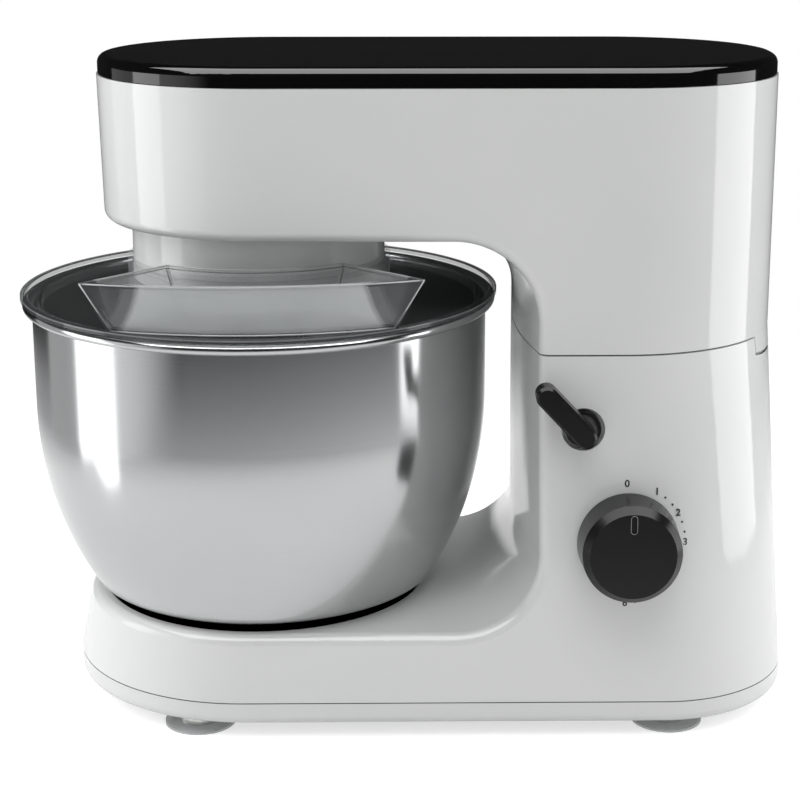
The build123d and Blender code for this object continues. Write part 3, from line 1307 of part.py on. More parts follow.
# Layshaft cut with the pinion, and the large toothed-belt pulley on it
with BuildPart() as pinion_shaft:
    with BuildSketch(Plane.XY.offset(FRAME_Z)):
        with Locations((LAYSHAFT_X, 0)):
            Circle(LAYSHAFT_R)
    extrude(amount=SHAFT_TOP - FRAME_Z)
    with BuildSketch(Plane.XY.offset(SPUR_Z)):
        with Locations((LAYSHAFT_X, 0)):
            add(gear_outline(PINION_TEETH, SPUR_MODULE, BACKLASH, 180 / PINION_TEETH))
    extrude(amount=SPUR_T)
with BuildPart() as large_pulley:
    with BuildSketch(Plane.XY.offset(BELT_Z - PULLEY_CHEEK)):
        with Locations((LAYSHAFT_X, 0)):
            Circle(BIG_PULLEY_R)
            Circle(LAYSHAFT_R + FIT, mode=Mode.SUBTRACT)
    extrude(amount=BELT_W + 2 * PULLEY_CHEEK)

# Tool shaft under the carrier with the planet gear, cross pin and flat beater
with BuildPart() as tool_shaft:
    with BuildSketch(Plane.XY.offset(TOOL_END_Z)):
        with Locations((TOOL_X, 0)):
            Circle(SHAFT_R)
    extrude(amount=RING_Z + RING_T - TOOL_END_Z)
    with BuildSketch(Plane.YZ.offset(TOOL_X - PIN_HALF)):
        with Locations((0, PIN_Z)):
            Circle(PIN_R + FIT)
    extrude(amount=2 * PIN_HALF, mode=Mode.SUBTRACT)
with BuildPart() as planet_gear:
    with BuildSketch(Plane.XY.offset(RING_Z + PARTING)):
        with Locations((TOOL_X, 0)):
            add(gear_outline(PLANET_TEETH, PLANET_MODULE, BACKLASH, 0))
            Circle(SHAFT_R + FIT, mode=Mode.SUBTRACT)
    extrude(amount=RING_T - 2 * PARTING)
with BuildPart() as cross_pin:
    with BuildSketch(Plane.YZ.offset(TOOL_X - PIN_HALF)):
        with Locations((0, PIN_Z)):
            Circle(PIN_R)
    extrude(amount=2 * PIN_HALF)


def beater_leaf(inset=0.0):
    """Outline of the beater's leaf: wide shoulders, narrower foot, rounded corners."""
    with BuildSketch() as outline:
        with BuildLine():
            Polyline((-BEATER_HUB_R, BEATER_NECK_Z + BEATER_BAR), (-BEATER_WIDE, BEATER_WIDE_Z),
                     (-BEATER_FOOT, BEATER_LOW_Z), (BEATER_FOOT, BEATER_LOW_Z),
                     (BEATER_WIDE, BEATER_WIDE_Z), (BEATER_HUB_R, BEATER_NECK_Z + BEATER_BAR), close=True)
        make_face()
        fillet(outline.vertices().group_by(Axis.Y)[:-1], BEATER_ROUND)
        if inset:
            offset(amount=-inset)
    return outline.sketch


with BuildPart() as flat_beater:
    with BuildSketch(Plane.YZ.offset(TOOL_X - BEATER_T / 2)):
        add(beater_leaf())
        add(beater_leaf(BEATER_BAR), mode=Mode.SUBTRACT)
        with Locations((0, (BEATER_LOW_Z + BEATER_NECK_Z) / 2)):
            Rectangle(BEATER_BAR, BEATER_NECK_Z - BEATER_LOW_Z)
        with Locations((0, BEATER_WIDE_Z - BEATER_BAR)):
            Rectangle(2 * (BEATER_WIDE - BEATER_BAR), BEATER_CROSS)
    extrude(amount=BEATER_T)
    with BuildSketch(Plane.XY.offset(BEATER_NECK_Z)):
        with Locations((TOOL_X, 0)):
            Circle(BEATER_HUB_R)
    extrude(amount=BEATER_TOP_Z - BEATER_NECK_Z)
    with BuildSketch(Plane.XY.offset(TOOL_END_Z - PARTING)):
        with Locations((TOOL_X, 0)):
            Circle(SHAFT_R + RUNNING)
    extrude(amount=BEATER_TOP_Z, mode=Mode.SUBTRACT)
    with BuildSketch(Plane.XY.offset(PIN_Z - PIN_R - SNUG)):
        with Locations((TOOL_X, 0)):
            Rectangle(3 * BEATER_HUB_R, 2 * PIN_R + 2 * SNUG)
    extrude(amount=BEATER_TOP_Z, mode=Mode.SUBTRACT)

# Belt round both pulleys, standing just clear of them
BELT_LEAN = asin((BIG_PULLEY_R - SMALL_PULLEY_R) / (MOTOR_X - LAYSHAFT_X))


def belt_outline(grow):
    """Outline round both pulleys: two arcs joined by their outer tangents."""
    big = BIG_PULLEY_R + grow
    small = SMALL_PULLEY_R + grow
    tilt = pi / 2 - BELT_LEAN
    with BuildSketch() as loop:
        with BuildLine():
            start = 180 - 180 * tilt / pi
            CenterArc((LAYSHAFT_X, 0), big, 180 * tilt / pi, 2 * start)
            CenterArc((MOTOR_X, 0), small, -180 * tilt / pi, 360 * tilt / pi)
            for side in (-1, 1):
                Line((LAYSHAFT_X + big * cos(tilt), side * big * sin(tilt)),
                     (MOTOR_X + small * cos(tilt), side * small * sin(tilt)))
        make_face()
    return loop.sketch


with BuildPart() as drive_belt:
    with BuildSketch(Plane.XY.offset(BELT_Z)):
        add(belt_outline(BELT_GAP + BELT_T))
        add(belt_outline(BELT_GAP), mode=Mode.SUBTRACT)
    extrude(amount=BELT_W)

# Motor stator: square laminated stack with two poles, and its two saddle coils
BOLTS = [(MOTOR_X + sx * BOLT_PITCH, sy * BOLT_PITCH) for sx in (-1, 1) for sy in (-1, 1)]
with BuildPart() as motor_stator:
    with BuildSketch(Plane.XY.offset(STATOR_Z)):
        with Locations((MOTOR_X, 0)):
            RectangleRounded(2 * STATOR_HALF, 2 * STATOR_HALF, STATOR_CORNER)
            Circle(YOKE_R, mode=Mode.SUBTRACT)
            for middle in POLE_SIDES:
                add(ring_sector(BORE_R, YOKE_R + PARTING, middle, 2 * POLE_ARC))
        with Locations(*BOLTS):
            Circle(BOLT_R + FIT, mode=Mode.SUBTRACT)
    extrude(amount=STATOR_T)
with BuildPart() as field_coils:
    with BuildSketch(Plane.XY.offset(STATOR_Z - COIL_END)):
        with Locations((MOTOR_X, 0)):
            for middle in POLE_SIDES:
                add(ring_sector(BORE_R + AIR_GAP, YOKE_R - AIR_GAP, middle, 2 * COIL_ARC))
    extrude(amount=STATOR_T + 2 * COIL_END)
    with BuildSketch(Plane.XY.offset(STATOR_Z - SNUG)):
        with Locations((MOTOR_X, 0)):
            for middle in POLE_SIDES:
                add(ring_sector(BORE_R, YOKE_R, middle, 2 * POLE_ARC + COIL_PLAY))
    extrude(amount=STATOR_T + 2 * SNUG, mode=Mode.SUBTRACT)

# Armature on its shaft with commutator, fan and the small belt pulley
MOTOR_LOW = LOWER_BRACKET_Z - PARTING
MOTOR_TOP = BELT_Z + BELT_W + PULLEY_CHEEK
with BuildPart() as motor_shaft:
    with BuildSketch(Plane.XY.offset(MOTOR_LOW)):
        with Locations((MOTOR_X, 0)):
            Circle(MOTOR_SHAFT_R)
    extrude(amount=MOTOR_TOP - MOTOR_LOW)
with BuildPart() as armature:
    with BuildSketch(Plane.XY.offset(STATOR_Z - COIL_END / 2)):
        with Locations((MOTOR_X, 0)):
            Circle(BORE_R - AIR_GAP)
            with PolarLocations(BORE_R - AIR_GAP, SLOT_COUNT):
                Rectangle(SLOT_DEEP * 2, SLOT_W, mode=Mode.SUBTRACT)
            Circle(MOTOR_SHAFT_R + FIT, mode=Mode.SUBTRACT)
    extrude(amount=STATOR_T + COIL_END)
with BuildPart() as commutator:
    with BuildSketch(Plane.XY.offset(COMMUTATOR_Z)):
        with Locations((MOTOR_X, 0)):
            Circle(COMMUTATOR_R)
            Circle(MOTOR_SHAFT_R + FIT, mode=Mode.SUBTRACT)
    extrude(amount=COMMUTATOR_T)
with BuildPart() as cooling_fan:
    with BuildSketch(Plane.XY.offset(FAN_Z)):
        with Locations((MOTOR_X, 0)):
            Circle(FAN_R)
    extrude(amount=BLADE_W)
    with BuildSketch(Plane.XY.offset(FAN_Z)):
        with Locations((MOTOR_X, 0)):
            Circle(FAN_HUB_R)
            with PolarLocations(BLADE_MID, BLADE_COUNT):
                Rectangle(BLADE_LEN, BLADE_W)
    extrude(amount=FAN_T)
    with BuildSketch(Plane.XY.offset(FAN_Z)):
        with Locations((MOTOR_X, 0)):
            Circle(MOTOR_SHAFT_R + FIT)
    extrude(amount=FAN_T, mode=Mode.SUBTRACT)
with BuildPart() as motor_pulley:
    with BuildSketch(Plane.XY.offset(BELT_Z - PULLEY_CHEEK)):
        with Locations((MOTOR_X, 0)):
            Circle(SMALL_PULLEY_R)
            Circle(MOTOR_SHAFT_R + FIT, mode=Mode.SUBTRACT)
    extrude(amount=BELT_W + 2 * PULLEY_CHEEK)

# Lower motor bracket on four feet, upper bracket above the fan, each with its shaft bush
with BuildPart() as lower_bracket:
    with BuildSketch(Plane.XY.offset(LOWER_BRACKET_Z)):
        with Locations((MOTOR_X, 0)):
            RectangleRounded(2 * STATOR_HALF, 2 * STATOR_HALF, STATOR_CORNER)
    extrude(amount=MOTOR_BRACKET_T)
    with BuildSketch(Plane.XY.offset(FLOOR_Z + WALL + FIT)):
        with Locations(*BOLTS):
            Circle(BOLT_SLEEVE_R)
    extrude(amount=LOWER_BRACKET_Z - FLOOR_Z - WALL)
    with BuildSketch(Plane.XY.offset(LOWER_BRACKET_Z + MOTOR_BRACKET_T)):
        with Locations(*BOLTS):
            Circle(BOLT_SLEEVE_R)
    extrude(amount=STATOR_Z - FIT - LOWER_BRACKET_Z - MOTOR_BRACKET_T)
    with BuildSketch(Plane.XY.offset(FLOOR_Z)):
        with Locations(*BOLTS):
            Circle(BOLT_R + FIT)
        with Locations((MOTOR_X, 0)):
            Circle(MOTOR_SHAFT_R + RUNNING)
    extrude(amount=STATOR_Z, mode=Mode.SUBTRACT)
with BuildPart() as upper_bracket:
    with BuildSketch(Plane.XY.offset(UPPER_BRACKET_Z)):
        with Locations((MOTOR_X, 0)):
            RectangleRounded(2 * STATOR_HALF, 2 * STATOR_HALF, STATOR_CORNER)
    extrude(amount=MOTOR_BRACKET_T)
    with BuildSketch(Plane.XY.offset(STATOR_TOP + FIT)):
        with Locations(*BOLTS):
            Circle(BOLT_SLEEVE_R)
    extrude(amount=UPPER_BRACKET_Z - STATOR_TOP - FIT)
    with BuildSketch(Plane.XY.offset(STATOR_TOP)):
        with Locations(*BOLTS):
            Circle(BOLT_R + FIT)
        with Locations((MOTOR_X, 0)):
            Circle(MOTOR_SHAFT_R + RUNNING)
    extrude(amount=STATOR_TOP, mode=Mode.SUBTRACT)

# Long bolts through brackets and stator
with BuildPart() as motor_bolts:
    with BuildSketch(Plane.XY.offset(FLOOR_Z + WALL + SNUG)):
        with Locations(*BOLTS):
            Circle(BOLT_R)
    extrude(amount=UPPER_BRACKET_Z + MOTOR_BRACKET_T - FLOOR_Z - WALL - SNUG)

# Two brush holders on the lower bracket
with BuildPart() as brush_holders:
    with BuildSketch(Plane.XY.offset(LOWER_BRACKET_Z + MOTOR_BRACKET_T + FIT)):
        for side in (-1, 1):
            with Locations((MOTOR_X, side * (COMMUTATOR_R + AIR_GAP + BRUSH_LEN / 2))):
                Rectangle(BRUSH_W, BRUSH_LEN)
    extrude(amount=COMMUTATOR_Z + COMMUTATOR_T - LOWER_BRACKET_Z - MOTOR_BRACKET_T - FIT)

PIECES = {
    "base_housing": base_housing, "bottom_plate": bottom_plate, "suction_feet": suction_feet,
    "foot_studs": foot_studs, "bottom_screws": bottom_screws, "bayonet_plate": bayonet_plate,
    "seat_screws": seat_screws, "bowl": bowl, "bowl_foot": bowl_foot, "hinge_bracket": hinge_bracket,
    "bracket_screws": bracket_screws, "hinge_bushes": hinge_bushes, "hinge_pin": hinge_pin,
    "interlock_switch": interlock_switch, "interlock_plunger": interlock_plunger,
    "release_lever": release_lever, "lever_shaft": lever_shaft, "lever_bush": lever_bush,
    "latch_hook": latch_hook, "lever_spring": lever_spring, "speed_knob": speed_knob,
    "switch_spindle": switch_spindle, "speed_switch": speed_switch, "control_board": control_board,
    "board_parts": board_parts, "cord_gland": cord_gland, "head_shell": head_shell, "top_cover": top_cover,
    "head_floor": head_floor, "hinge_saddle": hinge_saddle, "latch_catch": latch_catch,
    "neck_collar": neck_collar, "ring_gear": ring_gear, "splash_guard": splash_guard,
    "gearbox_frame": gearbox_frame, "frame_screws": frame_screws, "gearbox_bridge": gearbox_bridge,
    "shaft_bearings": shaft_bearings, "main_shaft": main_shaft, "main_gear": main_gear,
    "planet_carrier": planet_carrier, "pinion_shaft": pinion_shaft, "large_pulley": large_pulley,
    "tool_shaft": tool_shaft, "planet_gear": planet_gear, "cross_pin": cross_pin, "flat_beater": flat_beater,
    "drive_belt": drive_belt, "motor_stator": motor_stator, "field_coils": field_coils,
    "motor_shaft": motor_shaft, "armature": armature, "commutator": commutator, "cooling_fan": cooling_fan,
    "motor_pulley": motor_pulley, "lower_bracket": lower_bracket, "upper_bracket": upper_bracket,
    "motor_bolts": motor_bolts, "brush_holders": brush_holders,
}
for label, piece in PIECES.items():
    piece.part.label = label
    export_step(piece.part, f"parts/{label}.step")
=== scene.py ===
"""Looks of the tilt-head stand mixer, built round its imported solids, in metres."""
from math import cos, pi, radians, sin

import bmesh
import bpy
import numpy as np
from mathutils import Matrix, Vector


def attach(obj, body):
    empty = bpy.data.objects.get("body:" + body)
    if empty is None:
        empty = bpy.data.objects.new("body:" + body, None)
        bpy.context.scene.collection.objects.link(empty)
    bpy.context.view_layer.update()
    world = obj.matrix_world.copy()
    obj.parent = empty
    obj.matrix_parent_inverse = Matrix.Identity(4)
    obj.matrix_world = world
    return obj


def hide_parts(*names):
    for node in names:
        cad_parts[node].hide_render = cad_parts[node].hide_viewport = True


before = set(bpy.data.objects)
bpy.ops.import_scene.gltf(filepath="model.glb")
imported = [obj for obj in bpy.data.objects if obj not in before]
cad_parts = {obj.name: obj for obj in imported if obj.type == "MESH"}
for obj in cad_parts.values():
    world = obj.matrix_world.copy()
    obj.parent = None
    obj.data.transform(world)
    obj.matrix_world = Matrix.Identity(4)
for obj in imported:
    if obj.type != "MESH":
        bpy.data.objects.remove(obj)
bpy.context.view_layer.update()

# Bottom plate
# The tray that closes the base from below, injection moulded in white ABS.
# Eight screws from below hold it to the housing, and a fine seam shows all round.


def linear(colour):
    """Linear RGBA of an sRGB hex colour."""
    part = np.array([int(colour[i:i + 2], 16) for i in (0, 2, 4)]) / 255
    part = np.where(part <= 0.04045, part / 12.92, ((part + 0.055) / 1.055) ** 2.4)
    return (*part.tolist(), 1.0)


def add(tree, kind, inputs=None, **settings):
    """Adds one shader node: settings are its properties, and inputs give each socket a value
    or a link."""
    made = tree.nodes.new(kind)
    for name, value in settings.items():
        setattr(made, name, value)
    for socket, value in (inputs or {}).items():
        if isinstance(value, bpy.types.NodeSocket):
            tree.links.new(value, made.inputs[socket])
        else:
            made.inputs[socket].default_value = value
    return made


def finish(name, **values):
    """Starts a material: gives it, its tree, its shader with these constant values, and its
    Object coordinates."""
    made = bpy.data.materials.new(name)
    made.use_nodes = True
    tree = made.node_tree
    shader = tree.nodes["Principled BSDF"]
    for socket, value in values.items():
        shader.inputs[socket.replace("_", " ")].default_value = value
    return made, tree, shader, add(tree, "ShaderNodeTexCoord").outputs["Object"]


def dress(made, *names):
    """Gives CAD nodes a finish."""
    for name in names:
        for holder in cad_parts[name].material_slots:
            holder.material = made


MM = 0.001
SEAM_MID = 17.85 * MM  # height of the seam's middle
SEAM_SHADE_REACH = 0.25 * MM   # reach of the grey line above and below it

# White ABS from a polished mould: bright and glossy, with a hardly seen drift of tone (60 mm),
# edges of reflections that waver a little over the slow sink of the wall (40 mm) and a trace of
# grain in the gloss (2 mm). A fine grey line of painted shade runs round the base's seam, where
# shade falls into the gap.
white_abs, tree, shader, place = finish("gloss white moulded ABS", IOR=1.53)
tone = add(tree, "ShaderNodeTexNoise", {"Vector": place, "Scale": 1 / (60 * MM), "Detail": 1.0})
ramp = add(tree, "ShaderNodeValToRGB", {"Fac": tone.outputs["Fac"]})
ramp.color_ramp.elements[0].color = linear("E4E6E5")
ramp.color_ramp.elements[1].color = linear("E9EAE9")
level = add(tree, "ShaderNodeSeparateXYZ", {"Vector": place})
seam = add(tree, "ShaderNodeMath", {0: level.outputs["Z"], 1: SEAM_MID, 2: SEAM_SHADE_REACH},
           operation="COMPARE")
# Painted shade: a grey line along the base's seam
painted_seam_shade = add(tree, "ShaderNodeMixRGB", {"Fac": seam.outputs[0], "Color1": ramp.outputs["Color"],
                                      "Color2": linear("6C6E6F")})
tree.links.new(painted_seam_shade.outputs["Color"], shader.inputs["Base Color"])
grain = add(tree, "ShaderNodeTexNoise", {"Vector": place, "Scale": 1 / (2 * MM), "Detail": 2.0})
rough = add(tree, "ShaderNodeMapRange", {"Value": grain.outputs["Fac"],
                                         "To Min": 0.06, "To Max": 0.10})
tree.links.new(rough.outputs["Result"], shader.inputs["Roughness"])
sink = add(tree, "ShaderNodeTexNoise", {"Vector": place, "Scale": 1 / (40 * MM), "Detail": 0.0})
wave = add(tree, "ShaderNodeBump", {"Height": sink.outputs["Fac"], "Strength": 0.12,
                                    "Distance": 0.3 * MM})
tree.links.new(wave.outputs["Normal"], shader.inputs["Normal"])
dress(white_abs, "bottom_plate")

# Suction feet with their studs, and the bottom screws
# Four soft clear silicone cups on turned steel studs that screw up into the plate.
# The eight screws are zinc-plated steel.

# Clear silicone, moulded: the stud shows through its middle, it turns milky at a glance, and
# faint clouds (5 mm) stand in it
silicone, tree, shader, place = finish("clear moulded silicone", IOR=1.41)
haze = add(tree, "ShaderNodeTexNoise", {"Vector": place, "Scale": 1 / (5 * MM), "Detail": 2.0})
ramp = add(tree, "ShaderNodeValToRGB", {"Fac": haze.outputs["Fac"]})
ramp.color_ramp.elements[0].color = linear("9DA1A2")
ramp.color_ramp.elements[1].color = linear("B7BBBB")
tree.links.new(ramp.outputs["Color"], shader.inputs["Base Color"])
rough = add(tree, "ShaderNodeMapRange", {"Value": haze.outputs["Fac"],
                                         "To Min": 0.16, "To Max": 0.30})
tree.links.new(rough.outputs["Result"], shader.inputs["Roughness"])
glance = add(tree, "ShaderNodeLayerWeight", {"Blend": 0.5})
milk = add(tree, "ShaderNodeMapRange", {"Value": glance.outputs["Facing"],
                                        "To Min": 0.4, "To Max": 0.8})
tree.links.new(milk.outputs["Result"], shader.inputs["Alpha"])
dress(silicone, "suction_feet")

# Zinc-plated steel: bright bluish metal with a fine crystalline mottle (0.8 mm)
zinc, tree, shader, place = finish("zinc-plated steel", Metallic=1.0)
mottle = add(tree, "ShaderNodeTexVoronoi", {"Vector": place, "Scale": 1 / (0.8 * MM)})
ramp = add(tree, "ShaderNodeValToRGB", {"Fac": mottle.outputs["Distance"]})
ramp.color_ramp.elements[0].color = linear("C3C6C9")
ramp.color_ramp.elements[1].color = linear("DADCDD")
tree.links.new(ramp.outputs["Color"], shader.inputs["Base Color"])
rough = add(tree, "ShaderNodeMapRange", {"Value": mottle.outputs["Distance"],
                                         "To Min": 0.18, "To Max": 0.34})
tree.links.new(rough.outputs["Result"], shader.inputs["Roughness"])
dress(zinc, "bottom_screws")

# Nickel-plated steel, turned and barrel polished: bright, with faint soft patches (4 mm)
nickel, tree, shader, place = finish("nickel-plated turned steel", Metallic=1.0)
patch = add(tree, "ShaderNodeTexNoise", {"Vector": place, "Scale": 1 / (4 * MM), "Detail": 1.0})
ramp = add(tree, "ShaderNodeValToRGB", {"Fac": patch.outputs["Fac"]})
ramp.color_ramp.elements[0].color = linear("D2D2D0")
ramp.color_ramp.elements[1].color = linear("E2E2E0")
tree.links.new(ramp.outputs["Color"], shader.inputs["Base Color"])
rough = add(tree, "ShaderNodeMapRange", {"Value": patch.outputs["Fac"],
                                         "To Min": 0.16, "To Max": 0.24})
tree.links.new(rough.outputs["Result"], shader.inputs["Roughness"])
dress(nickel, "foot_studs")

# Base housing
# Base and column in one white ABS moulding, with the bowl's recess in its deck.
# Its wall has the holes for the lever and the knob, and the screw posts inside.
dress(white_abs, "base_housing")

# Bowl seat
# The bayonet plate that the bowl's foot turns into, moulded in grey nylon.
# It lies in the deck's recess, and zinc-plated screws hold it to the housing.

# Glass-filled nylon: matt, with a fine speckle of fibre (0.6 mm)
nylon, tree, shader, place = finish("grey glass-filled nylon", IOR=1.53)
fibre = add(tree, "ShaderNodeTexNoise", {"Vector": place, "Scale": 1 / (0.6 * MM), "Detail": 3.0})
ramp = add(tree, "ShaderNodeValToRGB", {"Fac": fibre.outputs["Fac"]})
ramp.color_ramp.elements[0].color = linear("5A5C5E")
ramp.color_ramp.elements[1].color = linear("747678")
tree.links.new(ramp.outputs["Color"], shader.inputs["Base Color"])
rough = add(tree, "ShaderNodeMapRange", {"Value": fibre.outputs["Fac"],
                                         "To Min": 0.42, "To Max": 0.58})
tree.links.new(rough.outputs["Result"], shader.inputs["Roughness"])
dress(nylon, "bayonet_plate")
dress(zinc, "seat_screws")

# Hinge
# A die-cast bracket in the column and a saddle in the head, joined by a ground steel pin
# in two sintered bronze bushes.

# Die-cast aluminium: grey metal with a dull grainy skin (1.2 mm)
cast, tree, shader, place = finish("die-cast aluminium", Metallic=1.0)
skin = add(tree, "ShaderNodeTexNoise", {"Vector": place, "Scale": 1 / (1.2 * MM), "Detail": 4.0})
ramp = add(tree, "ShaderNodeValToRGB", {"Fac": skin.outputs["Fac"]})
ramp.color_ramp.elements[0].color = linear("A9ABAD")
ramp.color_ramp.elements[1].color = linear("C6C8C9")
tree.links.new(ramp.outputs["Color"], shader.inputs["Base Color"])
rough = add(tree, "ShaderNodeMapRange", {"Value": skin.outputs["Fac"],
                                         "To Min": 0.34, "To Max": 0.52})
tree.links.new(rough.outputs["Result"], shader.inputs["Roughness"])
pits = add(tree, "ShaderNodeBump", {"Height": skin.outputs["Fac"], "Strength": 0.3,
                                    "Distance": 0.06 * MM})
tree.links.new(pits.outputs["Normal"], shader.inputs["Normal"])
dress(cast, "hinge_bracket", "hinge_saddle")

# Sintered bronze: brown metal with oil-dark pores (0.4 mm)
bronze, tree, shader, place = finish("sintered bronze", Metallic=1.0)
pore = add(tree, "ShaderNodeTexNoise", {"Vector": place, "Scale": 1 / (0.4 * MM), "Detail": 3.0})
ramp = add(tree, "ShaderNodeValToRGB", {"Fac": pore.outputs["Fac"]})
ramp.color_ramp.elements[0].color = linear("7A5A38")
ramp.color_ramp.elements[1].color = linear("B98E5C")
tree.links.new(ramp.outputs["Color"], shader.inputs["Base Color"])
rough = add(tree, "ShaderNodeMapRange", {"Value": pore.outputs["Fac"],
                                         "To Min": 0.36, "To Max": 0.5})
tree.links.new(rough.outputs["Result"], shader.inputs["Roughness"])
dress(bronze, "hinge_bushes")
dress(zinc, "bracket_screws", "hinge_pin")

# Controls inside the column
# Speed switch in nylon, interlock switch with its plunger and the cord gland in black ABS.
# The control board is lacquered glass-epoxy with its components soldered on.
dress(nylon, "speed_switch")

# Black ABS from a spark-eroded mould: satin, with a fine even grain (0.5 mm)
satin, tree, shader, place = finish("satin black moulded ABS", IOR=1.53, Specular_IOR_Level=0.27)
grain = add(tree, "ShaderNodeTexNoise", {"Vector": place, "Scale": 1 / (0.5 * MM), "Detail": 2.0})
ramp = add(tree, "ShaderNodeValToRGB", {"Fac": grain.outputs["Fac"]})
ramp.color_ramp.elements[0].color = linear("0D0D0E")
ramp.color_ramp.elements[1].color = linear("141415")
tree.links.new(ramp.outputs["Color"], shader.inputs["Base Color"])
rough = add(tree, "ShaderNodeMapRange", {"Value": grain.outputs["Fac"],
                                         "To Min": 0.20, "To Max": 0.30})
tree.links.new(rough.outputs["Result"], shader.inputs["Roughness"])
bumps = add(tree, "ShaderNodeBump", {"Height": grain.outputs["Fac"], "Strength": 0.15,
                                     "Distance": 0.03 * MM})
tree.links.new(bumps.outputs["Normal"], shader.inputs["Normal"])
dress(satin, "interlock_switch", "interlock_plunger", "cord_gland")

# Glass-epoxy board under green lacquer: the weave (0.9 mm) shows faintly through the gloss
lacquer, tree, shader, place = finish("green lacquered glass-epoxy", IOR=1.5)
weave = add(tree, "ShaderNodeTexChecker", {"Vector": place, "Scale": 1 / (0.9 * MM),
                                          "Color1": linear("1F5B34"), "Color2": linear("256A3D")})
tree.links.new(weave.outputs["Color"], shader.inputs["Base Color"])
rough = add(tree, "ShaderNodeMapRange", {"Value": weave.outputs["Fac"],
                                         "To Min": 0.22, "To Max": 0.28})
tree.links.new(rough.outputs["Result"], shader.inputs["Roughness"])
dress(lacquer, "control_board")
dress(cast, "board_parts")

# Release lever
# A black ABS paddle on a steel shaft in a bronze bush, with the latch hook and its return spring
# inside the column. It stands in a round hole of the wall, with a dark gap about its boss.
dress(satin, "release_lever")
dress(bronze, "lever_bush")
dress(zinc, "lever_shaft", "latch_hook", "lever_spring")

# Speed knob and its dial
# A black ABS knob with a smooth skirt and a sunk pointer, pressed on the switch's steel spindle.
# The scale is pad-printed in dark ink on the housing round it.
dress(satin, "speed_knob")
dress(zinc, "switch_spindle")

KNOB_X, KNOB_Y, KNOB_Z = 100.0 * MM, -81.652 * MM, 93.9 * MM  # where its axis meets the housing
LEAN = 0.05196            # draft of the housing's side, in radians
FLAT_END = 108.9 * MM     # x where the flat side ends
CORNER_R = 68.26 * MM     # radius of the rear corner past it
PRINT_SHIFT = 0.9 * MM    # the print stands this far from the axis, toward the bowl
SCALE_R = 27 * MM         # half the scale's width
SCALE_RISE = 27.9 * MM    # half its height
SCALE_DROP = 0.7 * MM     # its middle below the axis
DIGIT_H = 3.1 * MM
CAP_SHARE = 0.68          # a digit's height as a share of the font's size
STROKE_GAIN = 0.12 * MM   # ink spread at the edge of a stroke
DOT_R = 0.5 * MM
DOT_SIDES = 24
PRINT_T = 0.03 * MM       # half the ink's thickness

# Pad-printing ink: flat, nearly black, a little uneven where the pad lifted (0.7 mm)
ink, tree, shader, place = finish("dark pad-printing ink", IOR=1.5)
lift = add(tree, "ShaderNodeTexNoise", {"Vector": place, "Scale": 1 / (0.7 * MM), "Detail": 2.0})
ramp = add(tree, "ShaderNodeValToRGB", {"Fac": lift.outputs["Fac"]})
ramp.color_ramp.elements[0].color = linear("232426")
ramp.color_ramp.elements[1].color = linear("303234")
tree.links.new(ramp.outputs["Color"], shader.inputs["Base Color"])
rough = add(tree, "ShaderNodeMapRange", {"Value": lift.outputs["Fac"],
                                         "To Min": 0.35, "To Max": 0.5})
tree.links.new(rough.outputs["Result"], shader.inputs["Roughness"])


def on_housing(flat):
    """Lays flat points (across, up, out) on the housing's side: up leans back by the draft, and
    past the end of the flat side the surface falls away on the rear corner's circle."""
    x = KNOB_X - PRINT_SHIFT + flat[:, 0]
    past = np.clip(x - FLAT_END, 0, None)
    fall = CORNER_R - np.sqrt(CORNER_R ** 2 - past ** 2)
    y = KNOB_Y + flat[:, 1] * sin(LEAN) - flat[:, 2] * cos(LEAN) + fall
    z = KNOB_Z + flat[:, 1] * cos(LEAN) + flat[:, 2] * sin(LEAN)
    return np.column_stack((x, y, z))


def piece(name, points, faces, made, body, slot):
    """A new piece from points and faces, with smooth faces, its finish and its body; the slot is
    not used.
    """
    mesh = bpy.data.meshes.new(name)
    mesh.from_pydata(np.asarray(points).tolist(), [], list(faces))
    mesh.polygons.foreach_set("use_smooth", np.ones(len(mesh.polygons), bool))
    mesh.materials.append(made)
    mesh.validate()
    obj = bpy.data.objects.new(name, mesh)
    bpy.context.collection.objects.link(obj)
    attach(obj, body)
    return obj


for digit in range(7):
    angle = radians(30 * digit)
    text = bpy.data.curves.new("digit", "FONT")
    text.body = str(digit)
    text.align_x = "CENTER"
    text.align_y = "CENTER"
    text.size = DIGIT_H / CAP_SHARE
    text.extrude = PRINT_T
    text.offset = STROKE_GAIN
    holder = bpy.data.objects.new("digit", text)
    bpy.context.collection.objects.link(holder)
    shaped = holder.evaluated_get(bpy.context.evaluated_depsgraph_get())
    mesh = bpy.data.meshes.new_from_object(shaped)
    bpy.data.objects.remove(holder)
    flat = np.empty(3 * len(mesh.vertices))
    mesh.vertices.foreach_get("co", flat)
    flat = flat.reshape(-1, 3) + (SCALE_R * sin(angle), SCALE_RISE * cos(angle) - SCALE_DROP,
                                  PRINT_T)
    mesh.vertices.foreach_set("co", on_housing(flat).ravel())
    mesh.materials.clear()
    mesh.materials.append(ink)
    mesh.update()
    obj = bpy.data.objects.new(f"dial_digit_{digit}", mesh)
    bpy.context.collection.objects.link(obj)
    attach(obj, "stand")

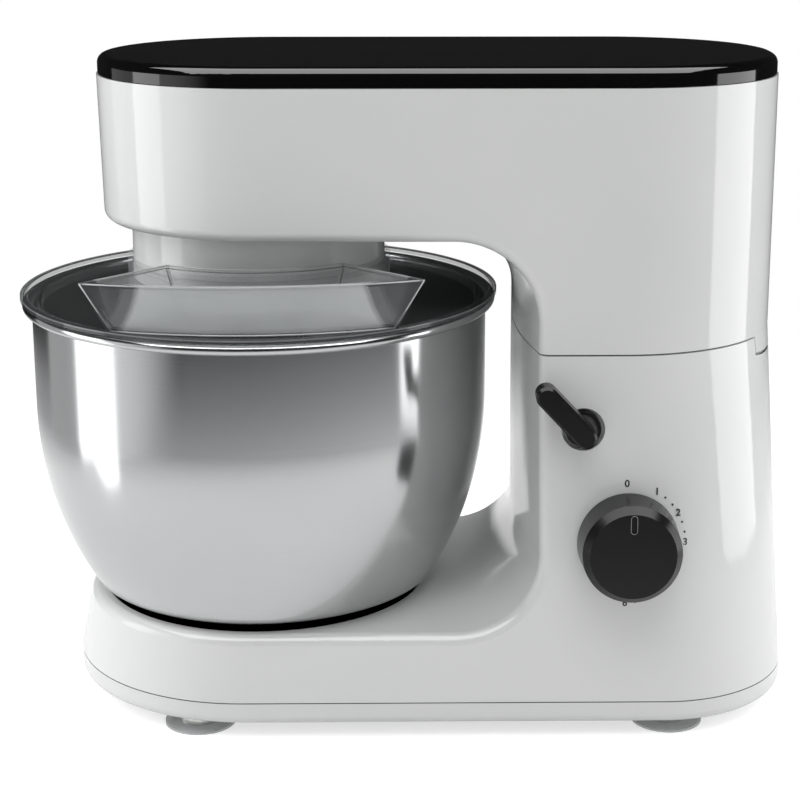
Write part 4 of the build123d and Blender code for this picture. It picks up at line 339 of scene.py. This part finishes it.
# Each dot is a low disc: two circles of points joined by a wall, and a fan to each middle
turn = np.linspace(0, 2 * pi, DOT_SIDES, endpoint=False)
step = np.arange(DOT_SIDES)
ahead = (step + 1) % DOT_SIDES
wall = np.column_stack((step, ahead, DOT_SIDES + ahead, DOT_SIDES + step))
top_fan = np.column_stack((DOT_SIDES + step, DOT_SIDES + ahead,
                           np.full(DOT_SIDES, 2 * DOT_SIDES)))
low_fan = np.column_stack((ahead, step, np.full(DOT_SIDES, 2 * DOT_SIDES + 1)))
dot_faces = wall.tolist() + top_fan.tolist() + low_fan.tolist()
for number, degrees in enumerate((40, 50, 70, 80, 100, 110, 130, 140, 160, 170)):
    angle = radians(degrees)
    across = SCALE_R * sin(angle) + DOT_R * np.cos(turn)
    up = SCALE_RISE * cos(angle) - SCALE_DROP + DOT_R * np.sin(turn)
    low = np.column_stack((across, up, np.zeros(DOT_SIDES)))
    top = low + (0, 0, 2 * PRINT_T)
    disc = np.vstack((low, top, top.mean(axis=0), low.mean(axis=0)))
    piece(f"dial_dot_{number}", on_housing(disc), dot_faces, ink, "stand", "black_plastic")

# Black ABS edge with a painted highlight: the sharp rim of the pointer's slot is a thin grey bead,
# a painted highlight that stands in for the light it catches, a little uneven (1.5 mm)
painted_edge_highlight, tree, shader, place = finish("black ABS edge with painted highlight", IOR=1.53)
shine = add(tree, "ShaderNodeTexNoise", {"Vector": place, "Scale": 1 / (1.5 * MM), "Detail": 1.0})
ramp = add(tree, "ShaderNodeValToRGB", {"Fac": shine.outputs["Fac"]})
ramp.color_ramp.elements[0].color = linear("6E6F70")
ramp.color_ramp.elements[1].color = linear("9A9B9C")
tree.links.new(ramp.outputs["Color"], shader.inputs["Base Color"])
rough = add(tree, "ShaderNodeMapRange", {"Value": shine.outputs["Fac"],
                                         "To Min": 0.2, "To Max": 0.35})
tree.links.new(rough.outputs["Result"], shader.inputs["Roughness"])


def bead(path, radius, sides=8):
    """Points and faces of a round bead along a path: round each point lies a circle square to
    the path's run, at p + radius (cos a, sin a) on two directions square to that run. Flat ends
    close it."""
    path = np.asarray(path)
    run = np.gradient(path, axis=0)
    run /= np.linalg.norm(run, axis=1, keepdims=True)
    steep = np.abs(run[:, 2:]) > 0.8
    side = np.cross(run, np.where(steep, (1.0, 0.0, 0.0), (0.0, 0.0, 1.0)))
    side /= np.linalg.norm(side, axis=1, keepdims=True)
    rise = np.cross(side, run)
    angle = np.linspace(0, 2 * pi, sides, endpoint=False)[None, :, None]
    ring = np.cos(angle) * side[:, None] + np.sin(angle) * rise[:, None]
    points = (path[:, None] + radius * ring).reshape(-1, 3)
    row, column = np.meshgrid(np.arange(len(path) - 1), np.arange(sides), indexing="ij")
    first = (row * sides + column).ravel()
    ahead = (row * sides + (column + 1) % sides).ravel()
    walls = np.column_stack((first, first + sides, ahead + sides, ahead))
    half = np.arange(sides // 2 - 1)
    end = np.column_stack((half, half + 1, sides - 2 - half, sides - 1 - half))
    return points, np.vstack((walls, end, end[:, ::-1] + (len(path) - 1) * sides))


POINTER_HALF = 1.4 * MM   # half the slot's width
POINTER_RUN = 2.7 * MM    # half the length of its straight sides
POINTER_UP = 14.5 * MM    # its middle above the axis
FACE_OUT = 22.6 * MM      # the knob's face before the housing
RIM_R = 0.16 * MM
bend = np.linspace(0, pi, 13)
cap_line = np.column_stack((POINTER_HALF * np.cos(bend),
                            POINTER_RUN + POINTER_HALF * np.sin(bend)))
loop = np.vstack((cap_line, -cap_line, cap_line[:2]))
across, up = loop.T + np.array(((0,), (POINTER_UP,)))
slot_line = np.column_stack((KNOB_X + across, KNOB_Y + up * sin(LEAN) - FACE_OUT * cos(LEAN),
                             KNOB_Z + up * cos(LEAN) + FACE_OUT * sin(LEAN)))
# A grey bead of painted highlight round the pointer's slot
piece("pointer_edge", *bead(slot_line, RIM_R), painted_edge_highlight, "knob", "black_plastic")

# Motor and gear train
# A universal motor drives a toothed belt to the layshaft, whose steel pinion turns the nylon
# main gear. Die-cast brackets and a gearbox frame carry the shafts, bolted in the head.

# Rubber belt: black and dull, with a cloth-backed grain (0.6 mm)
rubber, tree, shader, place = finish("black toothed-belt rubber", IOR=1.52)
cloth = add(tree, "ShaderNodeTexNoise", {"Vector": place, "Scale": 1 / (0.6 * MM), "Detail": 2.0})
ramp = add(tree, "ShaderNodeValToRGB", {"Fac": cloth.outputs["Fac"]})
ramp.color_ramp.elements[0].color = linear("161616")
ramp.color_ramp.elements[1].color = linear("222222")
tree.links.new(ramp.outputs["Color"], shader.inputs["Base Color"])
rough = add(tree, "ShaderNodeMapRange", {"Value": cloth.outputs["Fac"],
                                         "To Min": 0.6, "To Max": 0.8})
tree.links.new(rough.outputs["Result"], shader.inputs["Roughness"])
dress(rubber, "drive_belt")

WAVE_RUN = 0.31  # metres from band to band of a wave texture at scale 1

# Laminated core steel: dark stacked sheets, 0.5 mm each
laminate, tree, shader, place = finish("laminated core steel", Metallic=1.0)
sheets = add(tree, "ShaderNodeTexWave", {"Vector": place, "Scale": WAVE_RUN / (0.5 * MM)},
             bands_direction="Z")
ramp = add(tree, "ShaderNodeValToRGB", {"Fac": sheets.outputs["Fac"]})
ramp.color_ramp.elements[0].color = linear("55575A")
ramp.color_ramp.elements[1].color = linear("85878A")
tree.links.new(ramp.outputs["Color"], shader.inputs["Base Color"])
rough = add(tree, "ShaderNodeMapRange", {"Value": sheets.outputs["Fac"],
                                         "To Min": 0.35, "To Max": 0.5})
tree.links.new(rough.outputs["Result"], shader.inputs["Roughness"])
dress(laminate, "motor_stator", "armature")

# Enamelled copper wire: orange-brown, wound in 0.6 mm turns
copper, tree, shader, place = finish("enamelled copper wire", Metallic=1.0)
wires = add(tree, "ShaderNodeTexWave", {"Vector": place, "Scale": WAVE_RUN / (0.6 * MM),
                                        "Distortion": 1.0})
ramp = add(tree, "ShaderNodeValToRGB", {"Fac": wires.outputs["Fac"]})
ramp.color_ramp.elements[0].color = linear("8A4A26")
ramp.color_ramp.elements[1].color = linear("C9794A")
tree.links.new(ramp.outputs["Color"], shader.inputs["Base Color"])
rough = add(tree, "ShaderNodeMapRange", {"Value": wires.outputs["Fac"],
                                         "To Min": 0.25, "To Max": 0.4})
tree.links.new(rough.outputs["Result"], shader.inputs["Roughness"])
dress(copper, "field_coils", "commutator")
dress(cast, "lower_bracket", "upper_bracket", "motor_pulley", "gearbox_frame", "gearbox_bridge")
dress(nylon, "large_pulley", "main_gear", "ring_gear")
dress(zinc, "motor_bolts", "motor_shaft", "pinion_shaft", "main_shaft", "shaft_bearings",
      "frame_screws")
dress(satin, "brush_holders", "cooling_fan")

# Head shell and neck
# The white ABS tub that tilts on the hinge, with a nylon floor plate inside.
# The collar below it carries the splash guard, and the catch holds the head down.
dress(white_abs, "head_shell", "neck_collar")
dress(nylon, "head_floor")
dress(zinc, "latch_catch")

# Top cover
# A gloss black ABS lid, moulded in a mirror-polished tool.
# It clips into the head's open top.

# Gloss black ABS: deep black under a wet-looking surface, with a faint drift of tone (50 mm)
piano, tree, shader, place = finish("mirror-gloss black ABS", IOR=1.6)
shade = add(tree, "ShaderNodeTexNoise", {"Vector": place, "Scale": 1 / (50 * MM), "Detail": 1.0})
ramp = add(tree, "ShaderNodeValToRGB", {"Fac": shade.outputs["Fac"]})
ramp.color_ramp.elements[0].color = linear("090909")
ramp.color_ramp.elements[1].color = linear("0C0C0D")
tree.links.new(ramp.outputs["Color"], shader.inputs["Base Color"])
rough = add(tree, "ShaderNodeMapRange", {"Value": shade.outputs["Fac"],
                                         "To Min": 0.05, "To Max": 0.09})
tree.links.new(rough.outputs["Result"], shader.inputs["Roughness"])
dress(piano, "top_cover")

# Splash guard
# A ring with a pouring chute, moulded in clear polycarbonate.
# A short turn locks it on the neck, and its lip lies over the bowl's rim.

BOWL_X = -69 * MM                           # the bowl's axis
LIP_FROM, LIP_TO = 108.8 * MM, 109.6 * MM   # radii where the clear ring passes into the lip
FRONT_FROM, FRONT_TO = -86 * MM, -92 * MM   # y where the chute's front haze comes in
RING_TOP, CHUTE_FOOT = 195.5 * MM, 196.5 * MM

# Clear polycarbonate: the ring hardly shows face on and turns milky white at a glance, the
# chute's front grows more milky toward its face above the ring, and the lip on the bowl's rim is
# painted dark grey and more solid, a painted shade for how it looks seen edge on; faint flow marks
# (25 mm)
clear, tree, shader, place = finish("clear moulded polycarbonate", IOR=1.58)
flow = add(tree, "ShaderNodeTexNoise", {"Vector": place, "Scale": 1 / (25 * MM), "Detail": 1.0})
ramp = add(tree, "ShaderNodeValToRGB", {"Fac": flow.outputs["Fac"]})
ramp.color_ramp.elements[0].color = linear("D9DDDE")
ramp.color_ramp.elements[1].color = linear("E6E9E9")
centred = add(tree, "ShaderNodeMapping", {"Vector": place, "Location": (-BOWL_X, 0, 0),
                                          "Scale": (1, 1, 0)})
reach = add(tree, "ShaderNodeVectorMath", {0: centred.outputs["Vector"]}, operation="LENGTH")
lip = add(tree, "ShaderNodeMapRange", {"Value": reach.outputs["Value"], "From Min": LIP_FROM,
                                       "From Max": LIP_TO})
# Painted shade: the lip over the bowl's rim is painted dark grey
tone = add(tree, "ShaderNodeMixRGB", {"Fac": lip.outputs["Result"],
                                      "Color1": ramp.outputs["Color"],
                                      "Color2": linear("4A4D4F")})
tree.links.new(tone.outputs["Color"], shader.inputs["Base Color"])
rough = add(tree, "ShaderNodeMapRange", {"Value": flow.outputs["Fac"],
                                         "To Min": 0.02, "To Max": 0.06})
tree.links.new(rough.outputs["Result"], shader.inputs["Roughness"])
glance = add(tree, "ShaderNodeLayerWeight", {"Blend": 0.5})
body = add(tree, "ShaderNodeMapRange", {"Value": glance.outputs["Facing"], "From Min": 0.84,
                                        "From Max": 1.0, "To Min": 0.03, "To Max": 0.45})
spot = add(tree, "ShaderNodeSeparateXYZ", {"Vector": place})
front = add(tree, "ShaderNodeMapRange", {"Value": spot.outputs["Y"], "From Min": FRONT_FROM,
                                         "From Max": FRONT_TO, "To Min": 0.17, "To Max": 0.46})
above = add(tree, "ShaderNodeMapRange", {"Value": spot.outputs["Z"], "From Min": RING_TOP,
                                         "From Max": CHUTE_FOOT})
haze = add(tree, "ShaderNodeMath", {0: front.outputs["Result"], 1: above.outputs["Result"],
                                    2: body.outputs["Result"]}, operation="MULTIPLY_ADD")
rim = add(tree, "ShaderNodeMath", {0: lip.outputs["Result"], 1: 0.55}, operation="MULTIPLY")
solid = add(tree, "ShaderNodeMath", {0: haze.outputs[0], 1: rim.outputs[0]}, operation="MAXIMUM")
tree.links.new(solid.outputs[0], shader.inputs["Alpha"])
dress(clear, "splash_guard")

# Painted highlight on edges of the same plastic: a white bead along a moulded corner stands in for
# the light that gathers there, brighter and duller by turns (12 mm)
edge, tree, shader, place = finish("polycarbonate edge with painted highlight", IOR=1.58, Alpha=0.85)
gate = add(tree, "ShaderNodeTexNoise", {"Vector": place, "Scale": 1 / (12 * MM), "Detail": 1.0})
ramp = add(tree, "ShaderNodeValToRGB", {"Fac": gate.outputs["Fac"]})
ramp.color_ramp.elements[0].color = linear("C9CED0")
ramp.color_ramp.elements[1].color = linear("F1F3F3")
tree.links.new(ramp.outputs["Color"], shader.inputs["Base Color"])
rough = add(tree, "ShaderNodeMapRange", {"Value": gate.outputs["Fac"],
                                         "To Min": 0.05, "To Max": 0.12})
tree.links.new(rough.outputs["Result"], shader.inputs["Roughness"])

# Painted shade beside such an edge: a thin dark bead runs beside the white one, for the inner side
# where light is bent away, uneven in the same way (12 mm)
shaded, tree, shader, place = finish("polycarbonate corner with painted shade", IOR=1.58, Alpha=0.55)
gate = add(tree, "ShaderNodeTexNoise", {"Vector": place, "Scale": 1 / (12 * MM), "Detail": 1.0})
ramp = add(tree, "ShaderNodeValToRGB", {"Fac": gate.outputs["Fac"]})
ramp.color_ramp.elements[0].color = linear("1E2022")
ramp.color_ramp.elements[1].color = linear("4C5052")
tree.links.new(ramp.outputs["Color"], shader.inputs["Base Color"])
rough = add(tree, "ShaderNodeMapRange", {"Value": gate.outputs["Fac"],
                                         "To Min": 0.05, "To Max": 0.12})
tree.links.new(rough.outputs["Result"], shader.inputs["Roughness"])

# The chute, in mm and degrees about the bowl's axis
CHUTE_BACK_R = 66     # its back lies on this circle
CHUTE_REACH = 103     # its front stands this far out
CHUTE_SAG = 12        # and bulges by this much
CHUTE_TURN = 2.2      # it stands turned by this angle
TOP_HALF, TOP_ARC = 74.3, 36    # half width of the front and half angle of the back, at the top
LOW_HALF, LOW_ARC = 61.5, 31    # and at the foot
RING_Z = 194.9        # height of the ring's own edge
BACK_STEPS, FRONT_STEPS = 24, 32


def chute_line(half, arc_deg, z, inset):
    """The chute's outline at a height: its back is an arc on the neck's circle, its front an arc
    through three points, straight sides between them; all drawn in a little, turned with the
    chute, and set at the bowl."""
    back = np.radians(np.linspace(-arc_deg, arc_deg, BACK_STEPS))
    back_r = CHUTE_BACK_R + inset
    rear = np.column_stack((back_r * np.sin(back), -back_r * np.cos(back)))
    half -= inset
    sag = CHUTE_SAG - inset
    radius = (half ** 2 + sag ** 2) / (2 * sag)
    sweep = np.arcsin(half / radius)
    front = np.linspace(sweep, -sweep, FRONT_STEPS)
    lip = np.column_stack((radius * np.sin(front),
                           inset - CHUTE_REACH + radius * (1 - np.cos(front))))
    line = np.vstack((rear, lip, rear[:1]))
    twist = radians(CHUTE_TURN)
    x = line[:, 0] * cos(twist) - line[:, 1] * sin(twist)
    y = line[:, 0] * sin(twist) + line[:, 1] * cos(twist)
    return np.column_stack((x, y, np.full(len(x), z))) * MM + (BOWL_X, 0, 0)


def ring_line(radius, z):
    """A circle about the bowl's axis at a height, in mm."""
    angle = np.radians(np.linspace(0, 360, 241))
    circle = np.column_stack((radius * np.cos(angle), radius * np.sin(angle), np.full(241, z)))
    return circle * MM + (BOWL_X, 0, 0)


FRONT_END = BACK_STEPS + FRONT_STEPS
# White beads of painted highlight along the guard's edges, and dark beads of painted shade beside
# them
for name, made, inset, top, low, ring, thick in (
        ("guard_edges", edge, 0.45, 216.1, 195.2, 112.05, 0.36),
        ("guard_corners", shaded, 1.5, 215.0, 196.8, 110.9, 0.30)):
    top_line = chute_line(TOP_HALF, TOP_ARC, top, inset)
    low_line = chute_line(LOW_HALF, LOW_ARC, low, inset)
    paths = [top_line, low_line[BACK_STEPS:FRONT_END], ring_line(ring, RING_Z)]
    paths += [np.linspace(low_line[corner], top_line[corner], 6)
              for corner in (0, BACK_STEPS - 1, BACK_STEPS, FRONT_END - 1)]
    points, faces, count = [], [], 0
    for path in paths:
        bead_points, bead_faces = bead(path, thick * MM)
        points.append(bead_points)
        faces.append(bead_faces + count)
        count += len(bead_points)
    piece(name, np.vstack(points), np.vstack(faces).tolist(), made, "guard", "clear_plastic")

# Planet carrier and flat beater
# A white ABS disc below the neck carries the tool's steel shaft and its nylon gear.
# The beater is cast in aluminium and hangs on the shaft's cross pin.
dress(white_abs, "planet_carrier")
dress(nylon, "planet_gear")
dress(zinc, "tool_shaft", "cross_pin")
dress(cast, "flat_beater")

# Mixing bowl
# Drawn from stainless sheet, spun to shape and polished on the lathe, with a rolled rim.
# Its ring foot is welded on and turns into the bayonet plate.

# Polished stainless: a clear mirror round the bowl, drawn out up and down by the polishing rings,
# which are drawn coarser than the real ones (0.7 mm) so that they show; the inside is darker, from
# where the profile, run from the middle of the floor outward, passes over the rim
INSIDE_RUN = 231.0 * MM
steel, tree, shader, place = finish("lathe-polished stainless steel", Metallic=1.0,
                                    Anisotropic=0.7, Anisotropic_Rotation=0.25)
level = add(tree, "ShaderNodeSeparateXYZ", {"Vector": place})
rings = add(tree, "ShaderNodeTexNoise", {"W": level.outputs["Z"], "Scale": 1 / (0.7 * MM),
                                         "Detail": 3.0}, noise_dimensions="1D")
ramp = add(tree, "ShaderNodeValToRGB", {"Fac": rings.outputs["Fac"]})
ramp.color_ramp.elements[0].color = linear("BBBCBD")
ramp.color_ramp.elements[1].color = linear("C2C3C4")
laid = add(tree, "ShaderNodeUVMap", uv_map="turned")
run = add(tree, "ShaderNodeSeparateXYZ", {"Vector": laid.outputs["UV"]})
within = add(tree, "ShaderNodeMapRange", {"Value": run.outputs["Y"],
                                          "From Min": INSIDE_RUN - 2 * MM,
                                          "From Max": INSIDE_RUN + 6 * MM})
tone = add(tree, "ShaderNodeMixRGB", {"Fac": within.outputs["Result"],
                                      "Color1": ramp.outputs["Color"],
                                      "Color2": linear("A4A5A7")})
tree.links.new(tone.outputs["Color"], shader.inputs["Base Color"])
rough = add(tree, "ShaderNodeMapRange", {"Value": rings.outputs["Fac"],
                                         "To Min": 0.14, "To Max": 0.19})
tree.links.new(rough.outputs["Result"], shader.inputs["Roughness"])
along = add(tree, "ShaderNodeTangent", direction_type="UV_MAP", uv_map="turned")
tree.links.new(along.outputs["Tangent"], shader.inputs["Tangent"])
dress(steel, "bowl_foot")


def arc(centre, radius, start, end, steps):
    """Points (r, z) on a circle's arc between two angles in degrees."""
    angle = np.radians(np.linspace(start, end, steps))
    return np.column_stack((centre[0] + radius * np.cos(angle),
                            centre[1] + radius * np.sin(angle)))


def turned(name, profile, axis, around, made, body, slot):
    """A turned piece: each point (r, z) of the profile, in mm, is carried round a vertical axis,
    so that a point at angle a is (x + r cos a, y + r sin a, z). Its UV map runs round the axis
    and along the profile."""
    r, z = np.asarray(profile).T * MM
    angle = np.linspace(0, 2 * pi, around + 1)
    x = axis[0] + np.outer(np.cos(angle), r)
    y = axis[1] + np.outer(np.sin(angle), r)
    points = np.stack((x, y, np.broadcast_to(z, x.shape)), axis=-1).reshape(-1, 3)
    count = len(r)
    row, column = np.meshgrid(np.arange(around), np.arange(count - 1), indexing="ij")
    first = (row * count + column).ravel()
    faces = np.column_stack((first, first + count, first + count + 1, first + 1))
    obj = piece(name, points, faces.tolist(), made, body, slot)
    mesh = obj.data
    length = np.concatenate(([0], np.cumsum(np.hypot(np.diff(r), np.diff(z)))))
    corner = np.empty(len(mesh.loops), int)
    mesh.loops.foreach_get("vertex_index", corner)
    uv = np.column_stack((corner // count / around, length[corner % count]))
    mesh.uv_layers.new(name="turned").data.foreach_set("uv", uv.ravel().astype(np.float32))
    work = bmesh.new()
    work.from_mesh(mesh)
    bmesh.ops.remove_doubles(work, verts=work.verts, dist=1e-7)
    bmesh.ops.recalc_face_normals(work, faces=work.faces)
    work.to_mesh(mesh)
    work.free()
    mesh.set_sharp_from_angle(angle=radians(35))
    return obj


# The profile, in mm: flat floor, small knuckle, long curved side, straight top and rolled rim
SHEET = 1.4                                   # thickness of the steel
FLOOR_Z = 53.4                                # underside of the floor
KNUCKLE, KNUCKLE_R = (75.62, 63.2), 9.8
SIDE, SIDE_R, SIDE_ARC = (-55.7, 142.1), 163, 31
TOP_R, TOP_FROM, TOP_TO = 107.3, 165, 186     # outer radius of the straight top, and its heights
ROLL, ROLL_R = (109.3, 190.6), 2.4
MOUTH, MOUTH_R = (109.3, 189.6), 3.4          # the easy turn from the roll to the inside
outside = np.vstack(([(0, FLOOR_Z)], arc(KNUCKLE, KNUCKLE_R, -90, -SIDE_ARC, 16),
                     arc(SIDE, SIDE_R, -SIDE_ARC, 0, 60)[1:],
                     [(TOP_R, TOP_FROM), (TOP_R, TOP_TO)], arc(ROLL, ROLL_R, 213.6, 450, 44)))
inside = np.vstack((arc(MOUTH, MOUTH_R, 90, 180, 12)[1:],
                    [(TOP_R - SHEET, TOP_TO), (TOP_R - SHEET, TOP_FROM)],
                    arc(SIDE, SIDE_R - SHEET, 0, -SIDE_ARC, 60),
                    arc(KNUCKLE, KNUCKLE_R - SHEET, -SIDE_ARC, -90, 16)[1:],
                    [(0, FLOOR_Z + SHEET)]))
bowl = turned("mixing_bowl", np.vstack((outside, inside)), (BOWL_X, 0), 256, steel, "bowl",
              "polished_steel")
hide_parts("bowl")

# Studio
# A white floor under a white world, with softboxes at the left, the right, overhead and behind.
# Bright strips, a card and a canopy, with dark flags beyond them, are seen only in reflections.


def stage_sheet(name, points, faces, made):
    """A sheet of the studio from points and faces."""
    mesh = bpy.data.meshes.new(name)
    mesh.from_pydata(points, [], faces)
    mesh.materials.append(made)
    obj = bpy.data.objects.new(name, mesh)
    bpy.context.collection.objects.link(obj)
    return obj


# White floor: takes the light and the shadow near the mixer, and fades to plain white with
# distance; it glows a little to the camera, and less in reflections
FADE_FROM, FADE_TO = 0.3, 0.7
paper, tree, shader, place = finish("white studio floor", Roughness=0.9,
                                    Base_Color=linear("E0E0E0"))
seen = add(tree, "ShaderNodeLightPath")
glossy = add(tree, "ShaderNodeMath", {0: seen.outputs["Is Camera Ray"],
                                      1: seen.outputs["Is Glossy Ray"]}, operation="MAXIMUM")
shown = add(tree, "ShaderNodeMath", {0: glossy.outputs[0],
                                     1: seen.outputs["Is Transmission Ray"]}, operation="MAXIMUM")
lift = add(tree, "ShaderNodeMapRange", {"Value": seen.outputs["Is Glossy Ray"],
                                        "To Min": 0.6, "To Max": 0.27})
glow = add(tree, "ShaderNodeMath", {0: shown.outputs[0], 1: lift.outputs["Result"]},
           operation="MULTIPLY")
lit = add(tree, "ShaderNodeEmission", {"Color": linear("FFFFFF"), "Strength": glow.outputs[0]})
near = add(tree, "ShaderNodeAddShader", {0: shader.outputs[0], 1: lit.outputs[0]})
away = add(tree, "ShaderNodeVectorMath", {0: place}, operation="LENGTH")
fade = add(tree, "ShaderNodeMapRange", {"Value": away.outputs["Value"],
                                        "From Min": FADE_FROM, "From Max": FADE_TO})
whole = add(tree, "ShaderNodeMath", {0: fade.outputs["Result"], 1: shown.outputs[0]},
            operation="MULTIPLY")
plain = add(tree, "ShaderNodeEmission", {"Color": linear("FFFFFF"), "Strength": 1.0})
both = add(tree, "ShaderNodeMixShader", {0: whole.outputs[0], 1: near.outputs[0],
                                         2: plain.outputs[0]})
tree.links.new(both.outputs[0], tree.nodes["Material Output"].inputs["Surface"])
stage_sheet("floor", [(-6, -6, 0), (6, -6, 0), (6, 6, 0), (-6, 6, 0)], [(0, 1, 2, 3)], paper)


def softbox(name, spot, aim, width, height, radiance):
    """A rectangular lamp at a spot, facing its aim, seen neither by the camera nor in gloss; the
    radiance is spread over its area."""
    lamp = bpy.data.lights.new(name, "AREA")
    lamp.shape = "RECTANGLE"
    lamp.size = width
    lamp.size_y = height
    lamp.energy = radiance * pi * width * height
    obj = bpy.data.objects.new(name, lamp)
    bpy.context.collection.objects.link(obj)
    obj.location = spot
    obj.rotation_euler = (Vector(aim) - Vector(spot)).to_track_quat("-Z", "Y").to_euler()
    obj.visible_camera = False
    obj.visible_glossy = False


softbox("left softbox", (-1.25, 0.08, 0.62), (-0.05, 0.0, 0.2), 0.58, 1.2, 4.45)
softbox("right softbox", (1.25, 0.2, 0.62), (0.1, 0.0, 0.2), 0.85, 1.2, 2.6)
softbox("overhead softbox", (0.0, -0.75, 1.4), (0.0, 0.0, 0.2), 1.2, 0.6, 2.5)
softbox("rear softbox", (0.1, 1.2, 0.9), (0.0, 0.0, 0.1), 1.2, 0.8, 1.1)

# White world: plain white where it is seen, and a dimmer fill on the mixer
world = bpy.data.worlds.new("studio")
bpy.context.scene.world = world
world.use_nodes = True
tree = world.node_tree
seen = add(tree, "ShaderNodeLightPath")
glossy = add(tree, "ShaderNodeMath", {0: seen.outputs["Is Camera Ray"],
                                      1: seen.outputs["Is Glossy Ray"]}, operation="MAXIMUM")
shown = add(tree, "ShaderNodeMath", {0: glossy.outputs[0],
                                     1: seen.outputs["Is Transmission Ray"]}, operation="MAXIMUM")
level = add(tree, "ShaderNodeMapRange", {"Value": shown.outputs[0], "To Min": 0.48, "To Max": 1.0})
back = tree.nodes["Background"]
back.inputs["Color"].default_value = linear("FFFFFF")
tree.links.new(level.outputs["Result"], back.inputs["Strength"])


def reflector(name, points, faces, made):
    """A sheet of the studio that is kept out of everything but reflections."""
    obj = stage_sheet(name, points, faces, made)
    obj.visible_camera = False
    obj.visible_diffuse = False
    obj.visible_transmission = False
    obj.visible_shadow = False
    obj.visible_volume_scatter = False


def upright(name, x, front, rear, low, high, made):
    """A reflector that stands across x, between two places along y and two heights."""
    corners = [(x, front, low), (x, rear, low), (x, rear, high), (x, front, high)]
    reflector(name, corners, [(0, 1, 2, 3)], made)


LEFT_X, RIGHT_X = -0.49, 0.53   # where the strips stand
STRIP_TOP = 0.29
BLACK, WHITE = linear("000000"), linear("FFFFFF")

# Strip light: even white glow
strip = finish("strip light", Base_Color=BLACK, Emission_Color=WHITE, Emission_Strength=2.7)[0]
upright("left strip", LEFT_X, -0.19, -0.01, 0.15, STRIP_TOP, strip)
upright("left low strip", LEFT_X, -0.20, -0.01, 0.0, 0.15, strip)
upright("right strip", RIGHT_X, -0.21, 0.085, 0.0, STRIP_TOP, strip)
reflector("left floor strip", [(LEFT_X, -0.19, 0.001), (-0.37, -0.15, 0.001),
                               (-0.37, -0.10, 0.001), (LEFT_X, -0.07, 0.001)],
          [(0, 1, 2, 3)], strip)

# White card: a dim sheet behind the left strip
card = finish("white card", Base_Color=BLACK, Emission_Color=WHITE, Emission_Strength=0.5)[0]
upright("left card", LEFT_X, -0.01, 0.2, 0, STRIP_TOP, card)

# Soft end: light that falls off from the left strip's front
END_FROM, END_TO = -0.7, -0.19
soft_end, tree, shader, place = finish("soft strip end", Base_Color=BLACK, Emission_Color=WHITE)
spot = add(tree, "ShaderNodeSeparateXYZ", {"Vector": place})
fall = add(tree, "ShaderNodeMapRange", {"Value": spot.outputs["Y"], "From Min": END_FROM,
                                        "From Max": END_TO}, interpolation_type="SMOOTHSTEP")
tree.links.new(fall.outputs["Result"], shader.inputs["Emission Strength"])
upright("left soft end", LEFT_X, END_FROM, END_TO, 0, STRIP_TOP, soft_end)

# Canopy: a bright sheet bent over the mixer from before it, an arc about a line along x
CANOPY_HALF, CANOPY_R = 1.4, 1.3
CANOPY_Y, CANOPY_Z = -0.1, 0.25
canopy = finish("bright canopy", Base_Color=BLACK, Emission_Color=WHITE, Emission_Strength=4.5)[0]
bend = np.radians(np.linspace(38, 108, 26))
side = np.column_stack((np.full(26, CANOPY_HALF), CANOPY_Y - CANOPY_R * np.cos(bend),
                        CANOPY_Z + CANOPY_R * np.sin(bend)))
first = np.arange(25)
reflector("canopy", np.vstack((side, side * (-1, 1, 1))).tolist(),
          np.column_stack((first, first + 1, first + 27, first + 26)).tolist(), canopy)

# Dark flag: it comes in softly on the floor from 0.4 m out, grey at first and dull black from
# 0.85 m; the wall and the ceiling are all dull black
FLAG_FROM, FLAG_TO = 0.40, 0.62
WALL_R, CEILING_Z = 2.2, 1.9
FLAG_Z = 0.0006   # the dark floor lies this far over the white one
flag, tree, shader, place = finish("dark flag", Roughness=0.9)
away = add(tree, "ShaderNodeVectorMath", {0: place}, operation="LENGTH")
ramp = add(tree, "ShaderNodeValToRGB", {"Fac": away.outputs["Value"]})
ramp.color_ramp.elements[0].position = 0.68
ramp.color_ramp.elements[0].color = linear("9A9A9B")
ramp.color_ramp.elements[1].position = 0.85
ramp.color_ramp.elements[1].color = linear("1C1C1D")
tree.links.new(ramp.outputs["Color"], shader.inputs["Base Color"])
fade = add(tree, "ShaderNodeMapRange", {"Value": away.outputs["Value"], "From Min": FLAG_FROM,
                                        "From Max": FLAG_TO})
clear_air = add(tree, "ShaderNodeBsdfTransparent")
soft = add(tree, "ShaderNodeMixShader", {0: fade.outputs["Result"], 1: clear_air.outputs[0],
                                         2: shader.outputs[0]})
tree.links.new(soft.outputs[0], tree.nodes["Material Output"].inputs["Surface"])
turn = np.linspace(0, 2 * pi, 97)
first = 2 * np.arange(96)
band = np.column_stack((first, first + 2, first + 3, first + 1)).tolist()
for name, edges in (("dark surround", ((WALL_R, 0.0), (WALL_R, CEILING_Z))),
                    ("dark ceiling", ((0.0, CEILING_Z), (WALL_R, CEILING_Z))),
                    ("dark studio floor", ((FLAG_FROM, FLAG_Z), (WALL_R, FLAG_Z)))):
    radius, height = np.array(edges).T
    x = np.outer(np.cos(turn), radius)
    y = np.outer(np.sin(turn), radius)
    points = np.stack((x, y, np.broadcast_to(height, x.shape)), axis=-1).reshape(-1, 3)
    reflector(name, points.tolist(), band, flag)

# Camera
# A long lens a little above the deck, square to the mixer's side.
# Its place, tilt and shift are fitted to the outlines in the photograph.
lens = bpy.data.cameras.new("camera")
lens.sensor_width = 36.0
lens.lens = 86.6
lens.shift_x = -0.0342
lens.shift_y = -0.0484
camera = bpy.data.objects.new("camera", lens)
bpy.context.collection.objects.link(camera)
camera.location = (-0.0005, -0.8989, 0.3899)
camera.rotation_euler = (radians(90 - 14.51), 0, radians(-0.712))
bpy.context.scene.camera = camera
bpy.context.scene.view_settings.view_transform = "Standard"
